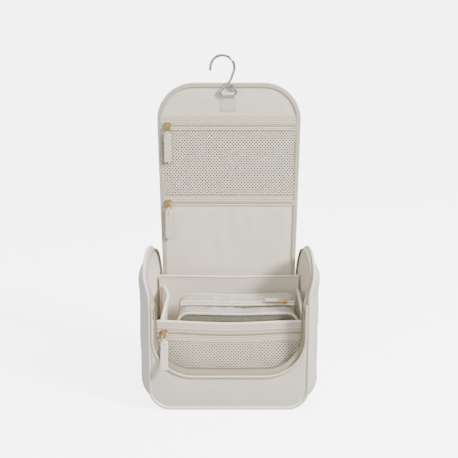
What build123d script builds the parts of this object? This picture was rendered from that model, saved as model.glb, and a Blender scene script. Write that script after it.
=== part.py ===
"""Hanging toiletry bag that stands on its base, with its lid held upright.

Millimetres. X runs to the bag's right, Y from front to back and Z up. The origin lies on the
surface that the bag stands on, under the middle of the base.
"""

import os
from math import cos, radians, sin

from build123d import *

os.makedirs("parts", exist_ok=True)

# ---- driving dimensions ----------------------------------------------------------------------

# body
depth = 108.0  # between the front and back panels
front_half = 97.6  # half width of the front panel
back_step = 5.6  # the back panel is this much narrower, each side
side_bulge = 17.4  # how far the side walls stand out beyond the front panel at mid depth
ear_flare = 3.4  # and at the crown of the ears
hinge_height = 140.0  # lid hinge line
base_corner = 24.0  # lower corners of the front and back panels
wall = 2.4  # side walls and base
panel_thickness = 2.5  # back panel, and the zip tape over the ears
front_thickness = 1.6  # front panel
lining_thickness = 0.8
piping_radius = 1.8
board_thickness = 2.0
gap = 0.3  # between soft pieces that are sewn or lie together

# front opening and front pocket
opening_edge = 2.8  # from the panel's side to the opening
opening_floor = 46.0
opening_corner = 50.0
rim_radius = 1.1
tape_side = 3.0  # width of the tape behind the rim, at the sides
tape_bottom = 8.0  # and along the bottom, above the opening's edge
tape_thickness = 1.0
tape_setback = 3.0  # behind the front panel
tape_overlap = 4.0  # below the opening's edge
front_pocket_depth = 14.0  # from the front panel back to the pocket's front
front_pocket_rise = 67.0  # its top edge, above the floor of the opening
front_pocket_gap = 4.3  # room inside the pocket
front_zip_drop = 15.0  # its zip, below its top edge

# inner pockets
back_pocket_rise = 7.0  # its top edge, above the hinge line
back_pocket_gap = 7.6
side_pocket_drop = 8.0  # top edges of the side pockets, below the hinge line
mesh_pocket_drop = 12.0
side_pocket_ends = (7.6, 11.6)  # the left pocket's ends, in from the front panel's side
side_pocket_sag = 17.6  # and how far it hangs in at mid depth
mesh_pocket_ends = (4.6, 7.6)
mesh_pocket_sag = 6.1
side_pocket_thickness = 1.0
back_pocket_thickness = 1.2

# lid
lid_side_gap = 0.6  # between the closed lid and the rim of the opening
lid_end_gap = 2.0
lid_taper = 5.2  # narrower at the hinge, each side
lid_corner = 48.0
lid_thickness = 5.0
shell_thickness = 2.2
lid_edge_width = 5.5
fold_gap = 0.6
hinge_lean = 25.0  # turn at the hinge line when the lid is shut, in degrees
last_lean = 27.0  # turn at the last fold
first_strip = 55.5  # from the hinge line to the first fold
crown_strip = 59.0  # the level strip over the ears
shoulder_strip = 48.0
lid_pocket_start = 7.5
low_zip_setback = 10.5  # from the lower zip to the second fold
top_zip_drop = 55.0  # from the lid's end to the upper zip
zip_band = 8.0

# pulls
slider_width = 8.0
slider_length = 9.0
slider_plate = 2.0
pivot_rise = 3.5  # from the zip's face to the pull's pivot
pivot_wire = 0.7
pivot_clearance = 0.3
eye_wall = 0.5
eye_length = 3.0
link_length = 8.0
link_width = 6.4
tab_width = 10.0
tab_length = 38.0
tab_thickness = 1.6
tab_bead_length = 4.4  # the part that is folded round the link
main_tab_width = 8.0
main_leg_width = 1.4
main_slider_width = 6.0
main_slider_inset = 3.4  # from the front panel's side
lid_slider_inset = 15.2  # from the lid's widest edge to its sliders
front_slider_inset = 16.6  # from the front panel's side to the front slider
front_tab_lean = 31.0  # the front tab hangs out over the rim of the opening

# main zip
main_slider_angle = 6.0  # above the hinge end of the ear, round its centre
ear_zip_width = 2.0

# hanger
hook_wire = 1.75
hook_clearance = 0.25
hook_setback = 14.2  # from the lid's end to the hook's pivot
leather = 0.9
loop_width = 20.0
loop_neck = 15.4
loop_length = 26.0
loop_centre = -1.2

# loose pouch
pouch_left_room = 32.6  # from the front panel's side to the pouch
pouch_right_room = 10.6
pouch_back_room = 20.6  # to the slip pocket on the back wall
pouch_front_drop = 18.7  # its front top edge, below the hinge line
pouch_rise = 6.0  # its top rises this much to the back
pouch_wall = 0.6
binding_width = 3.6
binding_thickness = 2.0
pouch_zip_width = 12.0
pouch_zip_thickness = 1.2
pouch_slider_inset = 16.0
pouch_slider_size = (8.0, 7.0)
pouch_pull_width = 6.8
pouch_pull_thickness = 1.2
binding_overlap = 1.2  # the bindings stand out beyond the film

# ---- places worked out from them -------------------------------------------------------------

back_half = front_half - back_step
bulge_half = front_half + side_bulge
ear_half = front_half + ear_flare
opening_half = front_half - opening_edge

front_face = -depth / 2
back_face = depth / 2
arch_radius = depth / 2
arch_height = hinge_height + 1.0
crown = arch_height + arch_radius + 5.0
panel_floor = 2 * piping_radius + 0.2
mid_floor = -0.6
inset = wall + gap
inner_inset = inset + lining_thickness
board_floor = panel_floor + inset
floor_top = board_floor + board_thickness

hinge_y = back_face
lid_front = hinge_y - lid_thickness / 2
lid_back = hinge_y + lid_thickness / 2
shell_front = lid_back - shell_thickness
lining_front = shell_front - lining_thickness
knuckle_radius = lid_thickness / 2
panel_front = lid_front + 0.5
back_top = hinge_height - knuckle_radius - 2 * gap

lid_end_half = opening_half - lid_side_gap
lid_hinge_half = lid_end_half - lid_taper
first_fold = first_strip
second_fold = first_fold + crown_strip
third_fold = second_fold + shoulder_strip
shut_crown = (
    hinge_height - knuckle_radius * sin(radians(hinge_lean)) + first_strip * cos(radians(hinge_lean))
)
shut_shoulder = shut_crown - shoulder_strip * cos(radians(last_lean))
lid_length = third_fold + shut_shoulder - opening_floor - lid_end_gap
low_zip = second_fold - low_zip_setback
top_zip = lid_length - top_zip_drop

pocket_face = front_face + front_pocket_depth
pocket_wall = pocket_face + lining_thickness + front_pocket_gap
front_pocket_height = opening_floor + front_pocket_rise
front_zip_height = front_pocket_height - front_zip_drop
back_pocket_height = hinge_height + back_pocket_rise
lid_slider_x = lid_slider_inset - lid_end_half
front_slider_x = front_slider_inset - front_half


def save(piece, name):
    """Label a finished piece and write it to its own file."""
    piece.part.label = name
    export_step(piece.part, f"parts/{name}.step")


def facing_front(y):
    """Upright plane at depth y, looking to the front; its own y runs up."""
    return Plane.XZ.offset(-y)


def u_face(plane, half_width, floor, top, corner):
    """Face with straight sides, round lower corners and a level top."""
    with BuildSketch(plane) as outline:
        with BuildLine():
            FilletPolyline(
                (-half_width, top),
                (-half_width, floor),
                (half_width, floor),
                (half_width, top),
                radius=corner,
            )
            Line((half_width, top), (-half_width, top))
        make_face()
    return outline.sketch


# ---- outer body ------------------------------------------------------------------------------


def wall_section(y, half_width, floor, top_half, drawn_in):
    """Cross-section of the body at depth y, narrowing from the hinge line up to the ears."""
    side = half_width - drawn_in
    bottom = floor + drawn_in
    top = top_half - drawn_in
    with BuildSketch(facing_front(y)) as section:
        with BuildLine():
            FilletPolyline(
                (-side, hinge_height),
                (-side, bottom),
                (side, bottom),
                (side, hinge_height),
                radius=base_corner + 2.0 - drawn_in,
            )
            Polyline((side, hinge_height), (top, crown), (-top, crown), (-side, hinge_height))
        make_face()
    return section.sketch.face()


def body_fill(drawn_in):
    """Solid that fills the body between its end panels, drawn in from the outside."""
    sections = (
        wall_section(front_face, front_half, panel_floor, front_half + 0.5, drawn_in),
        wall_section(0, bulge_half, mid_floor, ear_half, drawn_in),
        wall_section(back_face, back_half + 2.0, panel_floor, back_half + 2.5, drawn_in),
    )
    with BuildPart() as fill:
        loft(sections)
    return fill.part


def arch_prism(low_x, high_x, trim=0.0):
    """Side view of the body, a box with a round top, between two values of X."""
    with BuildPart() as prism:
        with BuildSketch(Plane.YZ.offset(low_x)):
            with Locations((0, arch_height)):
                Circle(arch_radius - trim)
            with Locations((0, arch_height / 2)):
                Rectangle(depth - 2 * trim, arch_height)
        extrude(amount=high_x - low_x)
    return prism.part


def side_limits(side):
    """X limits of the left (-1) or right (+1) wall, which starts beside the flat of the base."""
    start = side * (back_half - base_corner)
    end = side * (bulge_half + 10)
    return min(start, end), max(start, end)


for side, name in ((-1, "gusset_left"), (1, "gusset_right")):
    with BuildPart() as gusset:
        add(arch_prism(*side_limits(side)))
        add(body_fill(0), mode=Mode.INTERSECT)
        add(body_fill(wall), mode=Mode.SUBTRACT)
    save(gusset, name)

with BuildPart() as base_panel:
    base_limit = back_half - base_corner
    add(arch_prism(-base_limit, base_limit))
    add(body_fill(0), mode=Mode.INTERSECT)
    add(body_fill(wall), mode=Mode.SUBTRACT)
    with Locations((0, 0, hinge_height)):
        Box(3 * base_limit, 2 * depth, 1.8 * hinge_height, mode=Mode.SUBTRACT)
save(base_panel, "base_panel")

with BuildPart() as front_panel:
    panel_plane = facing_front(front_face - gap)
    extrude(u_face(panel_plane, front_half, panel_floor, hinge_height, base_corner), front_thickness)
    opening = u_face(facing_front(front_face), opening_half, opening_floor, crown, opening_corner)
    extrude(opening, amount=2 * front_thickness, mode=Mode.SUBTRACT)
save(front_panel, "front_panel")

with BuildPart() as back_panel:
    panel_plane = facing_front(back_face + gap + panel_thickness)
    extrude(u_face(panel_plane, back_half, panel_floor, back_top, base_corner), panel_thickness)
    outer_top = back_panel.edges().filter_by(Axis.X).group_by(Axis.Z)[-1].sort_by(Axis.Y)[-1]
    chamfer(outer_top, length=panel_thickness - 0.2)
save(back_panel, "back_panel")

piping_offset = piping_radius + 0.1
front_piping_y = front_face - gap - piping_radius
with BuildPart() as front_piping:
    ear_x = front_half + piping_offset
    with BuildLine() as front_piping_line:
        for side in (-1, 1):
            ThreePointArc(
                (side * ear_x, -front_piping_y, arch_height),
                (side * ear_x, 0, arch_height - front_piping_y),
                (side * ear_x, front_piping_y, arch_height),
            )
        FilletPolyline(
            (-ear_x, front_piping_y, arch_height),
            (-ear_x, front_piping_y, piping_offset),
            (ear_x, front_piping_y, piping_offset),
            (ear_x, front_piping_y, arch_height),
            radius=base_corner + piping_offset,
        )
    start = Plane(origin=(-ear_x, -front_piping_y, arch_height), x_dir=(1, 0, 0), z_dir=(0, 0, 1))
    with BuildSketch(start):
        Circle(piping_radius)
    sweep(path=front_piping_line.wire())
save(front_piping, "front_piping")

with BuildPart() as back_piping:
    back_x = back_half + piping_offset
    with BuildLine(facing_front(-front_piping_y)) as back_piping_line:
        FilletPolyline(
            (-back_x, back_top),
            (-back_x, piping_offset),
            (back_x, piping_offset),
            (back_x, back_top),
            radius=base_corner + piping_offset,
        )
    start = Plane(origin=(-back_x, -front_piping_y, back_top), x_dir=(1, 0, 0), z_dir=(0, 0, 1))
    with BuildSketch(start):
        Circle(piping_radius)
    sweep()
save(back_piping, "back_piping")

with BuildPart() as base_board:
    with Locations((0, 0, board_floor + board_thickness / 2)):
        Box(2 * (back_half - base_corner), depth - 2, board_thickness)
    fillet(base_board.edges().filter_by(Axis.Z), radius=8)
save(base_board, "base_board")

# ---- main zip over the ears and round the front opening --------------------------------------

ear_zip_inner = front_half - ear_zip_width - 0.2
for side, name in ((-1, "ear_zip_left"), (1, "ear_zip_right")):
    with BuildPart() as ear_zip:
        start_x = min(side * ear_zip_inner, side * (ear_zip_inner + ear_zip_width))
        with BuildSketch(Plane.YZ.offset(start_x)):
            with Locations((0, arch_height)):
                Circle(arch_radius + gap + panel_thickness)
                Circle(arch_radius + gap, mode=Mode.SUBTRACT)
                with Locations((0, -arch_radius)):
                    Rectangle(4 * arch_radius, 2 * arch_radius, mode=Mode.SUBTRACT)
        extrude(amount=ear_zip_width)
    save(ear_zip, name)

rim_y = front_face - gap - front_thickness - 0.1 - rim_radius
rim_half = opening_half + rim_radius
rim_floor = opening_floor - rim_radius
with BuildPart() as opening_rim:
    with BuildLine(facing_front(rim_y)) as rim_line:
        FilletPolyline(
            (-rim_half, hinge_height),
            (-rim_half, rim_floor),
            (rim_half, rim_floor),
            (rim_half, hinge_height),
            radius=opening_corner + rim_radius,
        )
    start = Plane(origin=(-rim_half, rim_y, hinge_height), x_dir=(1, 0, 0), z_dir=(0, 0, 1))
    with BuildSketch(start):
        Circle(rim_radius)
    sweep()
save(opening_rim, "opening_rim")

tape_y = front_face + tape_setback
with BuildPart() as opening_tape:
    outer_half = front_half - inset - 1.0
    outer = u_face(facing_front(tape_y), outer_half, opening_floor - tape_overlap, hinge_height, opening_corner)
    extrude(outer, amount=tape_thickness)
    inner_half = outer_half - tape_side
    inner = u_face(
        facing_front(tape_y + 1), inner_half, opening_floor + tape_bottom, crown, opening_corner - tape_side
    )
    extrude(inner, amount=2 + tape_thickness, mode=Mode.SUBTRACT)
save(opening_tape, "opening_tape")

# ---- lining and inner pockets ----------------------------------------------------------------


def inner_panel(y, thickness, low, high):
    """Upright panel that fits inside the linings, its front face at depth y."""
    with BuildPart() as panel:
        with Locations((0, y + thickness / 2, (low + high) / 2)):
            Box(4 * bulge_half, thickness, high - low)
        add(body_fill(inner_inset + gap), mode=Mode.INTERSECT)
    return panel.part


for side, name in ((-1, "liner_left"), (1, "liner_right")):
    with BuildPart() as liner:
        add(arch_prism(*side_limits(side), trim=1.0))
        add(body_fill(inset), mode=Mode.INTERSECT)
        add(body_fill(inner_inset), mode=Mode.SUBTRACT)
        with Locations((0, 0, 0)):
            Box(2 * (back_half - base_corner) + 1, 2 * depth, 2 * floor_top, mode=Mode.SUBTRACT)
    save(liner, name)

with BuildPart() as liner_back:
    add(inner_panel(back_face - gap - lining_thickness, lining_thickness, floor_top + gap, back_top))
save(liner_back, "liner_back")

back_pocket_y = back_face - gap - 2 * lining_thickness - back_pocket_gap
with BuildPart() as back_slip_pocket:
    add(
        inner_panel(
            back_pocket_y - back_pocket_thickness + lining_thickness,
            back_pocket_thickness,
            floor_top + gap,
            back_pocket_height,
        )
    )
save(back_slip_pocket, "back_slip_pocket")


def side_pocket(side, ends, sag_in, height):
    """Pocket front along a side wall; its ends and middle lie in from the front panel's side."""
    wall_x, back_x = (front_half - distance for distance in ends)
    sag_x = front_half - sag_in
    thickness = side_pocket_thickness
    front_y = pocket_wall + lining_thickness + gap
    back_y = back_pocket_y - 1.0
    with BuildPart() as pocket:
        with BuildSketch(Plane.XY.offset(floor_top + gap)):
            with BuildLine():
                ThreePointArc((side * wall_x, front_y), (side * sag_x, 4), (side * back_x, back_y))
                Line((side * back_x, back_y), (side * (back_x + thickness), back_y))
                ThreePointArc(
                    (side * (back_x + thickness), back_y),
                    (side * (sag_x + thickness), 4),
                    (side * (wall_x + thickness), front_y),
                )
                Line((side * (wall_x + thickness), front_y), (side * wall_x, front_y))
            make_face()
        extrude(amount=height - floor_top - gap)
        add(body_fill(inner_inset + gap), mode=Mode.INTERSECT)
    return pocket


slip_height = hinge_height - side_pocket_drop
mesh_height = hinge_height - mesh_pocket_drop
save(side_pocket(-1, side_pocket_ends, side_pocket_sag, slip_height), "side_slip_pocket")
save(side_pocket(1, mesh_pocket_ends, mesh_pocket_sag, mesh_height), "side_mesh_pocket")

# front pocket, facing the opening
with BuildPart() as front_pocket_back:
    add(inner_panel(pocket_wall, lining_thickness, floor_top + gap, front_pocket_height))
save(front_pocket_back, "front_pocket_back")

band_low = front_zip_height + zip_band / 2
with BuildPart() as front_pocket_band:
    band_depth = pocket_wall - pocket_face - 0.1
    add(inner_panel(pocket_face, band_depth, band_low, front_pocket_height))
save(front_pocket_band, "front_pocket_band")

with BuildPart() as front_pocket_zip:
    add(inner_panel(pocket_face - 0.4, lining_thickness + 0.4, band_low - 2 * zip_band, band_low))
save(front_pocket_zip, "front_pocket_zip")

with BuildPart() as front_pocket_mesh:
    add(inner_panel(pocket_face, lining_thickness, floor_top + gap, band_low - 2 * zip_band))
save(front_pocket_mesh, "front_pocket_mesh")

# ---- lid -------------------------------------------------------------------------------------


def lid_face(plane, drawn_in):
    """Outline of the lid, a little wider at its free end, drawn in from its edge."""
    top = hinge_height + lid_length - drawn_in
    low_half = lid_hinge_half - drawn_in
    top_half = lid_end_half - drawn_in
    with BuildSketch(plane) as outline:
        with BuildLine():
            FilletPolyline(
                (-low_half, hinge_height),
                (-top_half, top),
                (top_half, top),
                (low_half, hinge_height),
                radius=lid_corner - drawn_in,
            )
            Line((low_half, hinge_height), (-low_half, hinge_height))
        make_face()
    return outline.sketch


def lid_layer(front, back, start, end, drawn_in=0.0):
    """Piece of the lid between two depths and two distances from the hinge line."""
    with BuildPart() as layer:
        extrude(lid_face(facing_front(back), drawn_in), amount=back - front)
        with Locations((0, back, hinge_height + (start + end) / 2)):
            Box(4 * lid_end_half, 4 * lid_thickness, end - start, mode=Mode.INTERSECT)
    return layer.part


half_gap = fold_gap / 2
strips = (
    (0.0, first_fold - half_gap),
    (first_fold + half_gap, second_fold - half_gap),
    (second_fold + half_gap, third_fold - half_gap),
    (third_fold + half_gap, lid_length),
)
lining_start = knuckle_radius + gap

for number, (start, end) in enumerate(strips, 1):
    with BuildPart() as lid_shell:
        add(lid_layer(shell_front, lid_back, start, end))
        if number == 1:
            knuckle = Plane.YZ.offset(-(lid_hinge_half - 0.5))
            with BuildSketch(knuckle):
                with Locations((hinge_y, hinge_height)):
                    Circle(knuckle_radius)
            extrude(amount=2 * (lid_hinge_half - 0.5))
    save(lid_shell, f"lid_shell_{number}")

    inner_start = max(start, lining_start)
    with BuildPart() as lid_lining:
        add(lid_layer(lining_front, shell_front, inner_start, end))
    save(lid_lining, f"lid_lining_{number}")

    with BuildPart() as lid_rim:
        add(lid_layer(lid_front, lining_front, inner_start, end))
        add(lid_layer(lid_front - 1, lining_front, -1, lid_length, lid_edge_width), mode=Mode.SUBTRACT)
    save(lid_rim, f"lid_rim_{number}")

field = lid_edge_width + gap
half_band = zip_band / 2
lid_fields = (
    ("lid_pocket_lower", lid_pocket_start, strips[0][1]),
    ("lid_pocket_upper", strips[1][0], low_zip - half_band),
    ("lid_mesh_lower", strips[2][0], strips[2][1]),
    ("lid_mesh_upper", strips[3][0], top_zip - half_band),
)
for name, start, end in lid_fields:
    with BuildPart() as lid_field:
        add(lid_layer(panel_front, lining_front, start, end, field))
    save(lid_field, name)

zip_front = panel_front - 0.2
with BuildPart() as lid_zip_low:
    add(lid_layer(zip_front, lining_front, low_zip - half_band, strips[1][1], field))
save(lid_zip_low, "lid_zip_low")

with BuildPart() as lid_zip_top:
    add(lid_layer(zip_front, lining_front, top_zip - half_band, top_zip + half_band, field))
save(lid_zip_top, "lid_zip_top")

# ---- hanger loop and hook --------------------------------------------------------------------

hook_z = hinge_height + lid_length - hook_setback
loop_radius = hook_wire + hook_clearance + leather
hook_y = lid_front - hook_wire - gap
with BuildPart() as hanger_loop:
    strap_back = lining_front - gap / 2
    strap_front = hook_y + hook_wire + hook_clearance - 0.1
    strap_low = hook_z + 3.0 - loop_length
    strap_top = hook_z - loop_radius - 1.0
    with BuildSketch(facing_front(strap_back)):
        with Locations((loop_centre, (strap_low + strap_top) / 2)):
            Rectangle(loop_width, strap_top - strap_low)
        with Locations((loop_centre, (strap_low + hook_z) / 2)):
            Rectangle(loop_neck, hook_z - strap_low)
    extrude(amount=strap_back - strap_front)
    with BuildSketch(Plane.YZ.offset(loop_centre - loop_neck / 2)):
        with Locations((hook_y, hook_z)):
            Circle(loop_radius)
    extrude(amount=loop_neck)
    with BuildSketch(Plane.YZ.offset(loop_centre - loop_width)):
        with Locations((hook_y, hook_z)):
            Circle(hook_wire + hook_clearance)
    extrude(amount=2 * loop_width, mode=Mode.SUBTRACT)
save(hanger_loop, "hanger_loop")

with BuildPart() as hook:
    with BuildLine(facing_front(hook_y)) as hook_line:
        FilletPolyline(
            (-24.0, hook_z + 30.0),
            (-22.0, hook_z + 49.0),
            (12.5, hook_z + 49.0),
            (1.5, hook_z + 16.0),
            (-15.5, hook_z),
            (11.0, hook_z),
            (3.5, hook_z + 12.4),
            radius=(15.0, 15.0, 26.0, 2.6, 2.6),
        )
    hook_start = hook_line.wire().start_point()
    with BuildSketch(Plane(origin=hook_start, z_dir=hook_line.wire().tangent_at(0))):
        Circle(hook_wire)
    sweep(path=hook_line.wire())
save(hook, "hook")

# ---- sliders and pulls -----------------------------------------------------------------------


def slider(plane, length=slider_length, width=slider_width):
    """Zip slider on a plane whose z points away from the zip, with an eye along its x."""
    eye_radius = pivot_wire + pivot_clearance
    with BuildPart() as body:
        with BuildSketch(plane.offset(0.2)):
            RectangleRounded(width, length, 2.0)
        extrude(amount=slider_plate)
        eye_plane = Plane(
            origin=plane.origin - plane.x_dir * eye_length / 2, x_dir=plane.y_dir, z_dir=plane.x_dir
        )
        with BuildSketch(eye_plane):
            with Locations((0, pivot_rise)):
                Circle(eye_radius + eye_wall)
            with Locations((0, (pivot_rise + slider_plate) / 2)):
                Rectangle(2 * (eye_radius + eye_wall), pivot_rise - slider_plate + 0.4)
            with Locations((0, pivot_rise)):
                Circle(eye_radius, mode=Mode.SUBTRACT)
        extrude(amount=eye_length)
    return body


def link(plane):
    """Wire link that runs through the slider's eye and carries the tab; plane is at the eye."""
    half = link_width / 2
    with BuildPart() as ring:
        with BuildLine(plane) as link_line:
            FilletPolyline(
                (-half, 0), (half, 0), (half, -link_length), (-half, -link_length), close=True, radius=1.2
            )
        with BuildSketch(Plane(origin=plane.origin, x_dir=plane.y_dir, z_dir=plane.x_dir)):
            Circle(pivot_wire)
        sweep(path=link_line.wire())
    return ring


def tab(plane):
    """Leather tab that hangs from the link, folded round its lower wire; plane is at the eye."""
    top = -link_length - pivot_wire - 0.4
    bead_radius = tab_thickness - 0.1
    with BuildPart() as leather_tab:
        with BuildSketch(plane.offset(-tab_thickness / 2)):
            with Locations((0, top - tab_length / 2)):
                Rectangle(tab_width, tab_length)
        extrude(amount=tab_thickness)
        corners = leather_tab.edges().filter_by(lambda edge: abs(edge.length - tab_thickness) < 0.01)
        fillet(corners, radius=1.6)
        bead_start = plane.origin - plane.x_dir * tab_bead_length / 2
        bead = Plane(origin=bead_start, x_dir=plane.y_dir, z_dir=plane.x_dir)
        with BuildSketch(bead):
            with Locations((-link_length, 0)):
                Circle(bead_radius)
        extrude(amount=tab_bead_length)
        with BuildSketch(bead):
            with Locations((-link_length, 0)):
                Circle(pivot_wire + 0.15)
        extrude(amount=tab_bead_length, mode=Mode.SUBTRACT)
    return leather_tab


def pull_set(prefix, x, y, z, lean=0.0):
    """Slider, link and tab of a zip that faces the front; the tab leans out by an angle."""
    face = Plane(origin=(x, y, z), x_dir=(1, 0, 0), z_dir=(0, -1, 0))
    save(slider(face), f"{prefix}_slider")
    angle = radians(lean)
    eye = face.offset(pivot_rise).origin
    hanging = Plane(origin=eye, x_dir=(1, 0, 0), z_dir=(0, -cos(angle), sin(angle)))
    save(link(hanging), f"{prefix}_link")
    save(tab(hanging), f"{prefix}_tab")


pull_set("lid_top", lid_slider_x, zip_front, hinge_height + top_zip)
pull_set("lid_low", lid_slider_x, zip_front, hinge_height + low_zip)
pull_set("front", front_slider_x, pocket_face - 0.4, front_zip_height, lean=front_tab_lean)

ear_outer = arch_radius + gap + panel_thickness
main_x = front_half - main_slider_inset
main_leg_x = (main_tab_width - main_leg_width - 0.6) / 2
main_axle = main_tab_width - 0.6
for side, name in ((-1, "left"), (1, "right")):
    angle = radians(main_slider_angle)
    radial = Vector(0, cos(angle), sin(angle))
    centre = Vector(side * main_x, 0, arch_height)
    zip_face = Plane(origin=centre + radial * ear_outer, x_dir=(-1, 0, 0), z_dir=radial)
    save(slider(zip_face, width=main_slider_width), f"main_slider_{name}")
    eye = centre + radial * (ear_outer + pivot_rise)
    hanging = Plane(origin=eye, x_dir=(-1, 0, 0), z_dir=(0, 1, 0))
    with BuildPart() as main_pull:
        with BuildSketch(hanging.offset(-tab_thickness / 2)):
            with Locations((0, -tab_length / 2 - slider_length / 2)):
                Rectangle(main_tab_width, tab_length)
            for leg in (-1, 1):
                with Locations((leg * main_leg_x, -slider_length / 2)):
                    Rectangle(main_leg_width, slider_length + 2)
        extrude(amount=tab_thickness)
        with BuildSketch(Plane(origin=eye - Vector(main_axle / 2, 0, 0), x_dir=(0, 1, 0), z_dir=(1, 0, 0))):
            Circle(pivot_wire)
        extrude(amount=main_axle)
    save(main_pull, f"main_pull_{name}")

# ---- loose pouch -----------------------------------------------------------------------------

pouch_floor = floor_top + gap
pouch_front = pocket_wall + lining_thickness + gap + binding_thickness + gap
pouch_back = back_pocket_y - pouch_back_room
pouch_left = pouch_left_room - front_half
pouch_width = 2 * front_half - pouch_left_room - pouch_right_room
pouch_centre = pouch_left + pouch_width / 2
pouch_front_top = hinge_height - pouch_front_drop
pouch_back_top = pouch_front_top + pouch_rise
top_front = Vector(pouch_centre, pouch_front, pouch_front_top)
top_back = Vector(pouch_centre, pouch_back, pouch_back_top)
top_normal = (top_back - top_front).cross(Vector(-1, 0, 0)).normalized()
pouch_top = Plane(origin=(top_front + top_back) * 0.5, x_dir=(1, 0, 0), z_dir=top_normal)


def pouch_profile(x, drawn_in):
    """Side view of the pouch at x, its top rising to the back."""
    with BuildSketch(Plane.YZ.offset(x)) as profile:
        Polygon(
            (pouch_front + drawn_in, pouch_floor + drawn_in),
            (pouch_back - drawn_in, pouch_floor + drawn_in),
            (pouch_back - drawn_in, pouch_back_top - drawn_in),
            (pouch_front + drawn_in, pouch_front_top - drawn_in),
            align=None,
        )
    return profile.sketch


with BuildPart() as pouch_shell:
    extrude(pouch_profile(pouch_left, 0), amount=pouch_width)
    inside = pouch_profile(pouch_left + pouch_wall, pouch_wall)
    extrude(inside, amount=pouch_width - 2 * pouch_wall, mode=Mode.SUBTRACT)
    with BuildSketch(pouch_top):
        Rectangle(pouch_width - 12, pouch_zip_width - 2)
    extrude(amount=4, both=True, mode=Mode.SUBTRACT)
save(pouch_shell, "pouch_shell")

with BuildPart() as pouch_binding:
    frame_width = pouch_width + 2 * binding_overlap
    frames = (
        (pouch_front - gap / 2, pouch_front_top),
        (pouch_back + gap / 2 + binding_thickness, pouch_back_top),
    )
    for frame_y, frame_top in frames:
        with BuildSketch(facing_front(frame_y)):
            with Locations((pouch_centre, (pouch_floor + frame_top) / 2)):
                RectangleRounded(frame_width, frame_top - pouch_floor, 9)
                RectangleRounded(
                    frame_width - 2 * binding_width,
                    frame_top - pouch_floor - 2 * binding_width,
                    7,
                    mode=Mode.SUBTRACT,
                )
        extrude(amount=binding_thickness)
save(pouch_binding, "pouch_binding")

with BuildPart() as pouch_zip:
    with BuildSketch(pouch_top.offset(gap / 2)):
        Rectangle(pouch_width - 6, pouch_zip_width)
    extrude(amount=pouch_zip_thickness)
save(pouch_zip, "pouch_zip")

pouch_zip_face = pouch_top.offset(gap / 2 + pouch_zip_thickness)
slider_x = pouch_width / 2 - pouch_slider_inset
along = Plane(
    origin=pouch_zip_face.origin + pouch_zip_face.x_dir * slider_x,
    x_dir=pouch_zip_face.y_dir,
    z_dir=pouch_zip_face.z_dir,
)
save(slider(along, *pouch_slider_size), "pouch_slider")

with BuildPart() as pouch_pull:
    pull_plane = along.offset(pivot_rise)
    half_width = pouch_pull_width / 2
    with BuildSketch(pull_plane.offset(-pouch_pull_thickness / 2)):
        for leg in (-1, 1):
            with Locations((leg * (half_width - 0.6), 3.5)):
                Rectangle(1.2, 9.0)
        with Locations((0, 15.5)):
            RectangleRounded(pouch_pull_width, 17.0, 1.5)
    extrude(amount=pouch_pull_thickness)
    with BuildSketch(Plane(origin=pull_plane.origin - pull_plane.x_dir * half_width, z_dir=pull_plane.x_dir)):
        Circle(pivot_wire)
    extrude(amount=pouch_pull_width)
save(pouch_pull, "pouch_pull")
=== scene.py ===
"""Hanging toiletry bag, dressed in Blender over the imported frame. Shapes are in millimetres."""

import math

import bpy
import numpy as np
from mathutils import Matrix, Vector, noise


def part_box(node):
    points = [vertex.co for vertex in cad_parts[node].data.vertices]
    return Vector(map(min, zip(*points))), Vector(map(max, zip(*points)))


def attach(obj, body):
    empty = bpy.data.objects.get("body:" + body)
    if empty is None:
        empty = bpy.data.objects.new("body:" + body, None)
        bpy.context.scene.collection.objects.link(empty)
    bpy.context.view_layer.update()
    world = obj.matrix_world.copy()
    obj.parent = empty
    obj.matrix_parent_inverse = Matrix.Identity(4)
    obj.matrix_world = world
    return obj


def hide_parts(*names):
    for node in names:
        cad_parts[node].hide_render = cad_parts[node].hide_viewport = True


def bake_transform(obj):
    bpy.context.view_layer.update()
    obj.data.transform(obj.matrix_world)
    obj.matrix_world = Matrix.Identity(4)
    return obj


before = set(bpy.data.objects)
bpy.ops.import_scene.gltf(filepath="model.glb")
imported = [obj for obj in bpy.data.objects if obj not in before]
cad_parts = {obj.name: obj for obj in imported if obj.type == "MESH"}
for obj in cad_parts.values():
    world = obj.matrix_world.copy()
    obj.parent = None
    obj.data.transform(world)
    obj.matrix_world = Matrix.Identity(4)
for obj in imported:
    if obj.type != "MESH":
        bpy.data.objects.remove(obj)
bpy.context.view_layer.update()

MM = 0.001


def box(node):
    """Lowest and highest corner of a node, in millimetres."""
    lowest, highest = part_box(node)
    return np.array(lowest) / MM, np.array(highest) / MM


# ---- materials -------------------------------------------------------------------------------


class Value:
    """Output socket of a node tree, with arithmetic that adds Math nodes."""

    def __init__(self, material, socket):
        self.material = material
        self.socket = socket

    def math(self, operation, *others):
        return self.material.node("ShaderNodeMath", {"operation": operation}, {
            number: other for number, other in enumerate((self, *others))
        })

    def __add__(self, other):
        return self.math("ADD", other)

    def __sub__(self, other):
        return self.math("SUBTRACT", other)

    def __mul__(self, other):
        return self.math("MULTIPLY", other)

    def __rsub__(self, other):
        return self.material.node("ShaderNodeMath", {"operation": "SUBTRACT"}, {0: other, 1: self})

    __radd__ = __add__
    __rmul__ = __mul__

    def sine(self):
        return self.math("SINE")


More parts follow.
